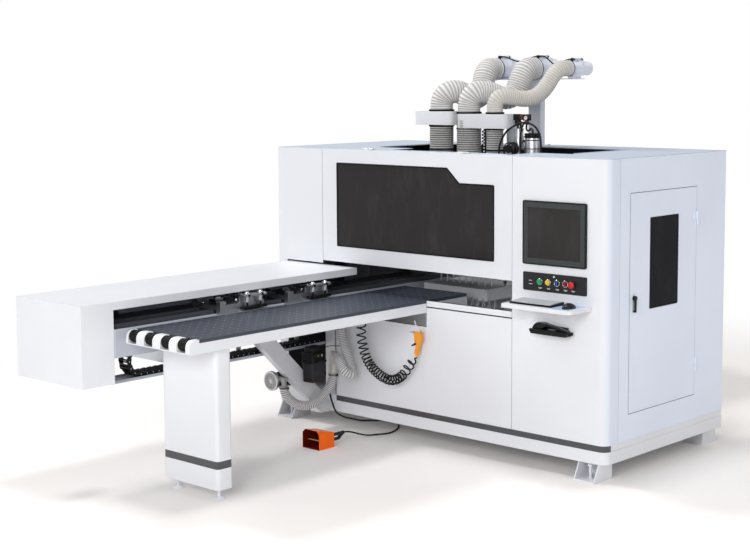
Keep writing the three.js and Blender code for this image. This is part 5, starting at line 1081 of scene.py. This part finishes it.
class MACHINE_OT_buttons(bpy.types.Operator):
    """Button plate's marks, bright collars, coloured caps and the lamp"""

    bl_idname = "machine.buttons"
    bl_label = "Buttons"

    def execute(self, context):
        trim = Shape("button_collars", "chrome", "white_plastic")
        xs = [PLATE_X + PLATE_WIDTH * share for share in (0.278, 0.411, 0.549, 0.679, 0.797)]
        marks = [(2240, 1186, 2262, 1189), (2240, 1165, 2266, 1168)]
        for index, x in enumerate(xs):
            if index < 4:
                trim.ring("y", (x, -13.6, BUTTON_Z), 20.5, 17, 3.4, 0.8, 0, 40)
            marks += [(x - 13, 1147, x + 13, 1150), (x - 9, 1142, x + 9, 1144.5)]
        for x0, z0, x1, z1 in marks:
            trim.slab((x0, -7.1, z0), (x1, -6.2, z1), 0, 1)
        trim.lathe("y", (PLATE_X + 236, -11.5, 1223), [(0, 3), (1, 5.6), (5.3, 6.6)], 1, 20)
        trim.ready("frame")
        push = [(0.2, 4), (0, 10), (1.2, 14.4), (3, 15.8), (11.6, 15.8)]
        for name, finish, x in zip(("start_button", "reset_button"), ("green", "yellow"), xs):
            y = box_of(name)[0].y
            cap = Shape(f"lens_of_{name}", finish, "chrome")
            cap.lathe("y", (x, y, BUTTON_Z), push, 0, 36)
            cap.rod("y", (x, y + 10, BUTTON_Z), STEM, 34, 0.6, 1, 20)
            cap.ready(name, name)
        turn = [(8.2, 4), (8, 12), (9.5, 15.2), (13, 15.8), (20.5, 15.8)]
        for name, finish, x in zip(("mode_selector", "speed_selector"), ("blue", "red"), xs[2:]):
            y = box_of(name)[0].y
            knob = Shape(f"knob_of_{name}", "black_plastic", finish, "chrome")
            knob.lathe("y", (x, y, BUTTON_Z), turn, 0, 36)
            knob.prism("y", rounded(x - 4, BUTTON_Z - 14.5, x + 4, BUTTON_Z + 14.5, 3), y + 0.2, y + 10, 0.8, 1)
            knob.rod("y", (x, y + 19, BUTTON_Z), STEM, 34, 0.6, 2, 20)
            knob.ready(name, name)
        low, high = box_of("emergency_stop")
        stop = Shape("mushroom_cap", "red", "black_plastic")
        x, y = xs[4], low.y
        cap = [(0.3, 5), (0, 12), (2, 18), (6, 21.6), (12, 21.8), (14, 19), (16, 15)]
        stop.lathe("y", (x, y, BUTTON_Z), cap, 0, 44)
        stop.rod("y", (x, y + 15, BUTTON_Z), STEM, high.y - y - 15, 0.6, 1, 20)
        stop.ready("emergency_stop", "emergency_stop")
        return {"FINISHED"}


def keyboard():
    """A sloped case with rows of keys; the first row has the long space key."""
    low, high = box_of("keyboard")
    keys = Shape("keyboard_and_keys", "key_grey", "black_plastic")
    size = high - low
    rows, columns, edge = 5, 16, 7
    row_pitch, key_pitch = (size.y - 2 * edge) / rows, (size.x - 2 * edge) / columns

    def slope(y):
        return low.z + size.z * (0.42 + 0.3 * (y - low.y) / size.y)

    side = [(low.y, low.z), (high.y, low.z), (high.y, slope(high.y)), (low.y, slope(low.y))]
    keys.prism("x", side, low.x, high.x, 2.5, 1)
    spans = {row: [(column, column + 1, 4.4) for column in range(columns)] for row in range(rows)}
    spans[0] = [*spans[0][:4], *spans[0][9:], (4, 9, 2.6)]
    for row, row_spans in spans.items():
        y = low.y + edge + row_pitch * row
        for first, last, gap in row_spans:
            x0, x1 = (low.x + edge + key_pitch * column for column in (first, last))
            keys.slab((x0, y, slope(y) - 2), (x1 - gap, y + row_pitch - 5, slope(y) + 5.2), 0.9)
    keys.ready("frame", "keyboard")


def mouse():
    """A round-backed mouse with its wheel, on its mat."""
    low, high = box_of("mouse")
    size, middle = high - low, (low + high) / 2
    shell = Shape("computer_mouse", "black_gloss", "grey_plastic")
    rings = []
    for share, wide, tall in ((0.0, 0.30, 0.25), (0.06, 0.62, 0.5), (0.2, 0.88, 0.78), (0.42, 0.98, 1.0),
                              (0.65, 1.0, 0.92), (0.85, 0.86, 0.66), (0.96, 0.6, 0.42), (1.0, 0.3, 0.22)):
        rings.append([
            (middle.x + size.x / 2 * wide * cos(angle), low.y + size.y * share,
             low.z + 0.2 + max(0, sin(angle)) ** 0.7 * size.z * tall)
            for angle in around(20)
        ])
    shell.skin(rings)
    shell.rod("x", (middle.x - 3, low.y + size.y * 0.26, high.z - 9), 8, 6, 1.2, 1, 20)
    shell.ready("frame", "mouse")
    shelf_low, shelf_high = box_of("keyboard_shelf")
    mat = Shape("mouse_mat", "mat_blue")
    mat.slab((low.x - 48, shelf_low.y + 12, low.z - 0.9), (shelf_high.x - 22, -12, low.z + 0.4), 0.4)
    mat.ready("frame")


def scanner():
    """The scanner's dish on the column, and the scanner in it."""
    low, high = box_of("scanner_holder")
    dish = Shape("scanner_dish", "black_plastic", "black_rubber")
    bottom, top = low.z, low.z + 26
    tray = [(low.x, top), (low.x + 14, bottom), (high.x - 22, bottom), (high.x - 4, top)]
    dish.prism("y", tray, low.y, low.y + 60, 4)
    back = [(low.x + 30, bottom + 6), (high.x - 40, bottom + 6), (high.x - 50, high.z - 14), (low.x + 44, high.z - 6)]
    dish.prism("y", back, -14, -0.4, 2)
    dish.slab((low.x + 6, low.y + 3, top - 4), (high.x - 10, low.y + 10, top + 4), 2, 1)
    dish.slab((high.x - 24, low.y + 22, top - 16), (high.x - 2, low.y + 52, top - 3), 3, 1)
    dish.ready("frame", "scanner_holder")
    low, high = box_of("barcode_scanner")
    size = high - low
    gun = Shape("handheld_scanner", "black_gloss", "zinc")
    # Outlines as shares of the scanner's width and height, then the inset, the rounding and the finish
    for outline, inset, soft, finish in (
        (((0, 0.42), (0.05, 0.74), (0.13, 0.97), (0.24, 1), (0.36, 0.93), (0.4, 0.8), (0.33, 0.6), (0.26, 0.44),
          (0.2, 0.34), (0.06, 0.34)), 2, 6, 0),
        (((0.3, 0.94), (0.46, 0.88), (0.72, 0.7), (0.96, 0.46), (1, 0.12), (0.86, 0.06), (0.84, 0.34),
          (0.66, 0.54), (0.46, 0.68), (0.34, 0.66)), 8, 5, 0),
        (((0.22, 0.36), (0.86, 0.22), (0.92, 0.08), (0.3, 0.1)), 6, 4, 0),
        # The zinc patch in the middle stands in for the white highlight in the trigger loop: a painted highlight
        (((0.42, 0.46), (0.62, 0.42), (0.6, 0.34), (0.42, 0.36)), 14, 2, 1),
    ):
        flat = [(low.x + size.x * a, low.z + size.z * b) for a, b in outline]
        gun.prism("y", flat, low.y + inset, high.y - inset, soft, finish)
    gun.ready("barcode_scanner", "barcode_scanner")


class MACHINE_OT_desk(bpy.types.Operator):
    """Keyboard with its keys, mouse, mat, scanner and holder"""

    bl_idname = "machine.desk"
    bl_label = "Desk"

    def execute(self, context):
        keyboard()
        mouse()
        scanner()
        return {"FINISHED"}


class MACHINE_OT_table(bpy.types.Operator):
    """Nose rollers of the table and its edge strip"""

    bl_idname = "machine.table"
    bl_label = "Float table"

    def execute(self, context):
        tread = [(0, 30), (1.5, 34), (4, 35.9)]
        for groove in (24, 44):
            tread += [(groove, 35.9), (groove + 1, 34.6), (groove + 3, 34.6), (groove + 4, 35.9)]
        tread += [(68, 35.9), (70.5, 34), (72, 30)]
        for index in range(4):
            x, y, z = 842 + 147 * index, -1978, 942
            wheel = Shape(f"belt_roller_{index + 1}", "black_rubber", "steel")
            wheel.lathe("x", (x, y, z), tread, 0, 48)
            wheel.rod("x", (x - 8, y, z), 6.8, 88, 0.8, 1, 20)
            wheel.ready(f"nose_roller_{index + 1}", f"nose_roller_{index + 1}")
        edge = Shape("board_edge_strip", "zinc")
        edge.slab((822.5, -1944, 976.2), (829.6, 418, 978.6), 0.8)
        edge.ready("frame")
        return {"FINISHED"}


def chain_line():
    """The drag chain's middle line: out along the tray, half a turn up and back."""
    path = [(0, -20 - 24 * index, 599.3) for index in range(66)]
    path += [(0, -1600 - 90 * sin(angle), 689.3 - 90 * cos(angle)) for angle in around(24)[:13]]
    path += [(0, y, 779.3) for y in range(-1576, -1480, 24)]
    return smooth(path, 24)


class MACHINE_OT_beam_details(bpy.types.Operator):
    """Cable chain and rail screws along the clamp beam"""

    bl_idname = "machine.beam_details"
    bl_label = "Clamp beam"

    def execute(self, context):
        line = chain_line()
        links = Shape("cable_chain_links", "black_plastic", "white_plastic", "zinc")
        plate = ((-6, -14), (2, -17.6), (20, -17.6), (24, -13), (46, -13), (50, -8), (50, 8), (46, 13), (24, 13),
                 (20, 17.6), (2, 17.6), (-6, 14))
        for index in range(0, len(line) - 2, 2):
            start, end = line[index], line[index + 2]
            along = (end - start).normalized()
            upward = Vector((0, -along.z, along.y))
            step = 0 if index % 4 else 1.4
            for x0, x1, shift, side in ((330, 336, step, 328.8), (414, 420, -step, 420)):
                outline = [start + along * a + upward * b for a, b in plate]
                links.skin([[(x + shift, p.y, p.z) for p in outline] for x in (x0, x1)])
                pin = start + along * 2
                links.rod("x", (side, pin.y, pin.z), 3.6, 1.2, 0.3, 1, 12)
            for shift in (9, 33):
                for lift in (-15.2, 15.2):
                    centre = start + along * shift + upward * lift
                    bar = [centre + along * a + upward * b for a, b in oblong(-5, -1.6, 5, 1.6)]
                    links.skin([[(x, p.y, p.z) for p in bar] for x in (334, 416)])
        links.slab((150, -1482, 665), (520, -1472, 797), 1.5, 2)
        links.ready("frame", "drag_chain")
        rails = Shape("linear_rails", "steel", "black_plastic")
        for x in (570, 700):
            for y in range(-2000, 2850, 120):
                rails.rod("z", (x, y, 996.6), 4.6, 1.0, 0.3, 1, 12)
        rails.ready("frame")
        return {"FINISHED"}


class MACHINE_OT_clamps(bpy.types.Operator):
    """Polished cylinders, valves, fittings and air tubes of the two clamp carriages"""

    bl_idname = "machine.clamps"
    bl_label = "Clamps"

    def execute(self, context):
        # The upper face of the clamps' plates
        top = 1075
        for number, first in ((1, -1262), (2, -677)):
            unit = Shape(f"clamp_fittings_{number}", "chrome", "black_plastic", "steel")
            y0 = first + 190
            for y in (y0 + 38, y0 + 152):
                unit.lathe("z", (790, y, top), [(0, 20), (5, 21), (9, 20), (10, 12), (16, 11), (18, 6)], 0, 32)
                unit.ring("z", (790, y, top - 13.4), 24, 20, 14.4, 1, 1, 32)
            for y in (y0 + 12, y0 + 178):
                for x in (768, 804):
                    unit.rod("z", (x, y, top - 1), 6, 7, 0.8, 2, 16)
            for x0, y1, z0, x1, y2, z1, soft, finish in (
                (650, 30, 1023.6, 744, 120, 1052, 3, 1), (664, 44, 1051, 700, 106, 1068, 2, 0),
                (560, 210, 1023.6, 730, 330, 1046, 3, 0),
            ):
                unit.slab((x0, first + y1, z0), (x1, first + y2, z1), soft, finish)
            for y in (first + 230, first + 310):
                unit.lathe("z", (600, y, 1045), [(0, 16), (4, 17), (22, 17), (24, 13), (30, 12)], 0, 28)
                unit.lathe("z", (680, y, 1045), [(0, 18), (26, 18), (30, 15)], 1, 28)
            for x, y in ((584, 40), (620, 70), (640, 150), (590, 360)):
                unit.bolt("z", (x, first + y, 1023.4), 8, 9)
            for route in (((660, 60, 1064), (640, 90, 1073), (632, 160, 1070), (650, 220, 1052)),
                          ((700, 90, 1062), (724, 120, 1073), (750, 165, 1074), (776, 200, 1070))):
                unit.sweep(smooth([(x, first + y, z) for x, y, z in route], 8), 4, 1, 10)
            unit.ready(f"clamp_carriage_{number}")
        return {"FINISHED"}


class MACHINE_OT_pump(bpy.types.Operator):
    """Lubricating pump: black cap with its keys, smoked tank with oil, and a tube"""

    bl_idname = "machine.pump"
    bl_label = "Lubricating pump"

    def execute(self, context):
        x0, x1, y0, y1 = 515.3, 625.3, -295, -160
        pump = Shape("lubricating_pump", "black_plastic", "smoked", "oil", "zinc", "yellow")
        tank = rounded(x0 + 4, y0 + 4, x1 - 4, y1 - 4, 14)
        for outline, bottom, top, soft, finish in (
            (rounded(x0, y0, x1, y1, 12), 503, 568, 3, 0),
            (rounded(x0 + 12, y0 + 12, x1 - 12, y1 - 12, 14), 566, 603.5, 5, 0),
            (rounded(x0, y0 - 4, x1 + 4, y1 + 4, 12), 496, 507.5, 1.5, 0),
            (tank, 392, 498, 1, 1), (tank, 362.4, 393, 3, 2),
        ):
            pump.prism("z", outline, bottom, top, soft, finish)
        for x in range(int(x0) + 10, int(x1) - 6, 11):
            pump.slab((x, y0 - 1.6, 512), (x + 5, y0 + 2, 560))
        for y in range(int(y0) + 12, int(y1) - 8, 11):
            pump.slab((x1 - 2, y, 512), (x1 + 1.6, y + 5, 560))
        pump.rod("x", (x1 - 1, -205, 545), 9, 3, 0.8, 3, 24)
        pump.rod("x", (x1 - 1, -240, 545), 5, 3, 0.8, 4, 16)
        pump.lathe("z", (590, -200, 600), [(0, 11), (3, 12), (3.8, 9)], 0, 20)
        tube = [(x1 - 8, -180, 590), (x1 + 16, -160, 604), (640, -110, 600), (648, -60, 592), (652, -12, 588)]
        pump.sweep(smooth(tube, 10), 3, 0, 10)
        pump.slab((x0, -287, 366), (x0 + 8, -257, 396), 1, 3)
        pump.ready("frame", "lubrication_pump")
        return {"FINISHED"}


class MACHINE_OT_blower(bpy.types.Operator):
    """Suction blower: ringed grille, finned dark motor, outlet and bracket"""

    bl_idname = "machine.blower"
    bl_label = "Suction blower"

    def execute(self, context):
        x, y, z = 391, -470, 374
        fan = Shape("ring_blower", "cast", "dark_grey", "steel", "grille")
        fan.ring("y", (x, y, z), 67.8, 56, 26, 3, 2, 56)
        fan.rod("y", (x, y + 3, z), 58, 22, 1, 3, 48)
        for radius in (18, 29, 40, 51):
            fan.ring("y", (x, y + 1, z), radius + 1.4, radius - 1.4, 3, 0.4, 2, 40)
        for angle in around(16)[:8]:
            cosine, sine = cos(angle), sin(angle)
            bar = [(x + a * cosine - b * sine, z + a * sine + b * cosine) for a, b in oblong(-56, -1.2, 56, 1.2)]
            fan.prism("y", bar, y + 1.4, y + 4, 0, 2)
        fan.rod("y", (x, y + 0.4, z), 13, 6, 1.5, 2, 28)
        fan.lathe("y", (x, y + 24, z), [(0, 50), (60, 52), (168, 52), (174, 46)], 1, 40)
        for angle in around(28):
            fan.rod("y", (x + 52.5 * cos(angle), y + 90, z + 52.5 * sin(angle)), 2.2, 84, 0.5, 1, 6)
        fan.lathe("y", (x, y + 196, z), [(0, 44), (94, 44), (100, 36)], 1, 36)
        fan.rod("x", (x, -432, 390), 18, 111, 1.5, 0, 28)
        fan.rod("z", (484, -432, 345.7), 18, 44.3, 1.5, 0, 28)
        fan.rod("z", (484, -432, 345.7), 28, 5, 0.8, 0, 32)
        fan.slab((x, -400, 396), (454.7, -350, 420), 2)
        for bolt_y in (-388, -362):
            fan.bolt("z", (446, bolt_y, 420), 6, 7, 2)
        fan.ready("frame", "suction_blower")
        return {"FINISHED"}


class MACHINE_OT_roof(bpy.types.Operator):
    """Roof sheet with its wide opening under the hoses and the cover's hinge halves"""

    bl_idname = "machine.roof"
    bl_label = "Roof"

    def execute(self, context):
        low, high = box_of("roof_panel")
        left, right, back, top = low.x, high.x, high.y, ROOF_HEIGHT * 1000
        notch, column, front, corner = 442.5, 2103.5, 28.3, 55
        hole_x0, hole_x1, hole_y0, hole_y1 = 650, 2300, 370, 1000
        mouth_x0, mouth_x1, mouth_y = 960, 2012, 62
        sheet = Shape("roof_sheet", "roof_pale", "zinc")
        for outline in (
            [(left, 0), (notch, 0), (notch, front), (mouth_x0, front), (mouth_x0, hole_y0), (hole_x0, hole_y0),
             (hole_x0, back), (left, back)],
            oblong(mouth_x0, front, mouth_x1, mouth_y),
            [(mouth_x1, front), (column, front), (column, 0), *arc(right - corner, corner, corner, -90, 12),
             (right, back), (hole_x1, back), (hole_x1, hole_y0), (mouth_x1, hole_y0)],
            oblong(hole_x0, hole_y1, hole_x1, back),
        ):
            sheet.prism("z", outline, top - 3, top, 0)
        for x0, x1, y0, y1 in (
            (hole_x0 - 3, hole_x0, hole_y0, hole_y1), (hole_x1, hole_x1 + 3, hole_y0, hole_y1),
            (hole_x0 - 3, hole_x1 + 3, hole_y1, hole_y1 + 3), (mouth_x0, mouth_x1, mouth_y - 3, mouth_y),
        ):
            sheet.slab((x0, y0, top - 2), (x1, y1, top + 5), 0.6)
        axis_y, axis_z, radius, knuckle = 26.8, 1956.3, 6, 44.7
        for x in (857, 1689):
            sheet.rod("x", (x, axis_y, axis_z), radius, knuckle, 0.8, 1, 24)
            sheet.slab((x, axis_y + 2, top - 1), (x + knuckle, axis_y + 30, top + 3), 0.6, 1)
            for screw in (12, 33):
                sheet.bolt("z", (x + screw, axis_y + 19, top + 3), 3, 2, 1)
        sheet.ready("frame", "roof_panel")
        return {"FINISHED"}


class MACHINE_OT_small_hardware(bpy.types.Operator):
    """Bolt of the lower panel and the fittings of the air gun"""

    bl_idname = "machine.small_hardware"
    bl_label = "Small hardware"

    def execute(self, context):
        bolts = Shape("panel_bolts", "black_plastic")
        bolts.bolt("y", (694, -0.2, 400), 6, -7)
        bolts.ready("frame")
        gun = Shape("gun_fittings", "black_plastic", "zinc")
        gun.rod("z", (1352.7, -46, 612), 8.8, 16, 1.5, 0, 20)
        gun.lathe("x", (1323, -46, 763), [(-26, 3.4), (-24, 5), (-2, 6), (0, 8), (9, 8)], 1, 20)
        gun.ready("frame")
        return {"FINISHED"}


# CAD nodes that stay as they are, by finish
KEPT = {
    "cabinet_white": ("window_cover", "front_table_frame", "rear_table", "keyboard_shelf"),
    "side_white": ("side_door",),
    "cabinet_shell": ("front_left_panel", "front_lower_panel", "rear_panel"),
    "side_shell": ("right_side_panel", "left_side_panel"),
    "column_paint": ("control_column",),
    "base_paint": ("base_frame",),
    "leg_paint": ("front_table_leg",),
    "gantry_grey": ("gantry_bridge",),
    "structure": ("beam_brace",),
    "beam_paint": ("beam_body",),
    "cover_paint": ("beam_cover_front", "beam_cover_rear"),
    "board": ("front_table_board",),
    "steel": ("clamp_carriage_1", "clamp_carriage_2", "drill_head", "lower_head"),
    "brass": ("pedal_plate",),
    "glass_dark": ("window_pane",),
    "dark_grey": ("button_panel",),
    "pale_plastic": ("y_fitting",),
    "black_plastic": ("side_door_pull", "clamp_jaw_1", "clamp_jaw_2", "air_gun_trigger"),
    "gun_amber": ("air_gun",),
    "pedal_paint": ("pedal_housing",),
}


class MACHINE_OT_kept_parts(bpy.types.Operator):
    """Gives the parts whose shape is already right their finishes"""

    bl_idname = "machine.kept_parts"
    bl_label = "Kept parts"

    def execute(self, context):
        for finish, nodes in KEPT.items():
            for node in nodes:
                keep(node, finish)
        return {"FINISHED"}


class MACHINE_PT_sidebar(bpy.types.Panel):
    """Lists the sizes, the colours and the operators that build the machine"""

    bl_idname = "MACHINE_PT_sidebar"
    bl_label = "Drilling Machine"
    bl_space_type = "VIEW_3D"
    bl_region_type = "UI"
    bl_category = "Drilling Machine"

    def draw(self, context):
        for group in (colours(), sizes()):
            for name in group.__annotations__:
                self.layout.prop(group, name)
        for step in STEPS:
            self.layout.operator(step.bl_idname)


STEPS = (
    MACHINE_OT_stage,
    MACHINE_OT_pedal_cable,
    MACHINE_OT_curly_hose,
    MACHINE_OT_suction_hoses,
    MACHINE_OT_dust_hoses,
    MACHINE_OT_ducts,
    MACHINE_OT_head_carriage,
    MACHINE_OT_window,
    MACHINE_OT_side_door,
    MACHINE_OT_monitor,
    MACHINE_OT_buttons,
    MACHINE_OT_desk,
    MACHINE_OT_table,
    MACHINE_OT_beam_details,
    MACHINE_OT_clamps,
    MACHINE_OT_pump,
    MACHINE_OT_blower,
    MACHINE_OT_roof,
    MACHINE_OT_small_hardware,
    MACHINE_OT_kept_parts,
)
CLASSES = (MachineColours, MachineSizes, *STEPS, MACHINE_PT_sidebar)


def register():
    for item in CLASSES:
        bpy.utils.register_class(item)
    bpy.types.Scene.machine_colours = PointerProperty(type=MachineColours)
    bpy.types.Scene.machine_sizes = PointerProperty(type=MachineSizes)


def unregister():
    del bpy.types.Scene.machine_colours, bpy.types.Scene.machine_sizes
    for item in reversed(CLASSES):
        bpy.utils.unregister_class(item)


def main():
    register()
    for step in STEPS:
        getattr(bpy.ops.machine, step.bl_idname.split(".")[1])()


if __name__ == "__main__":
    main()
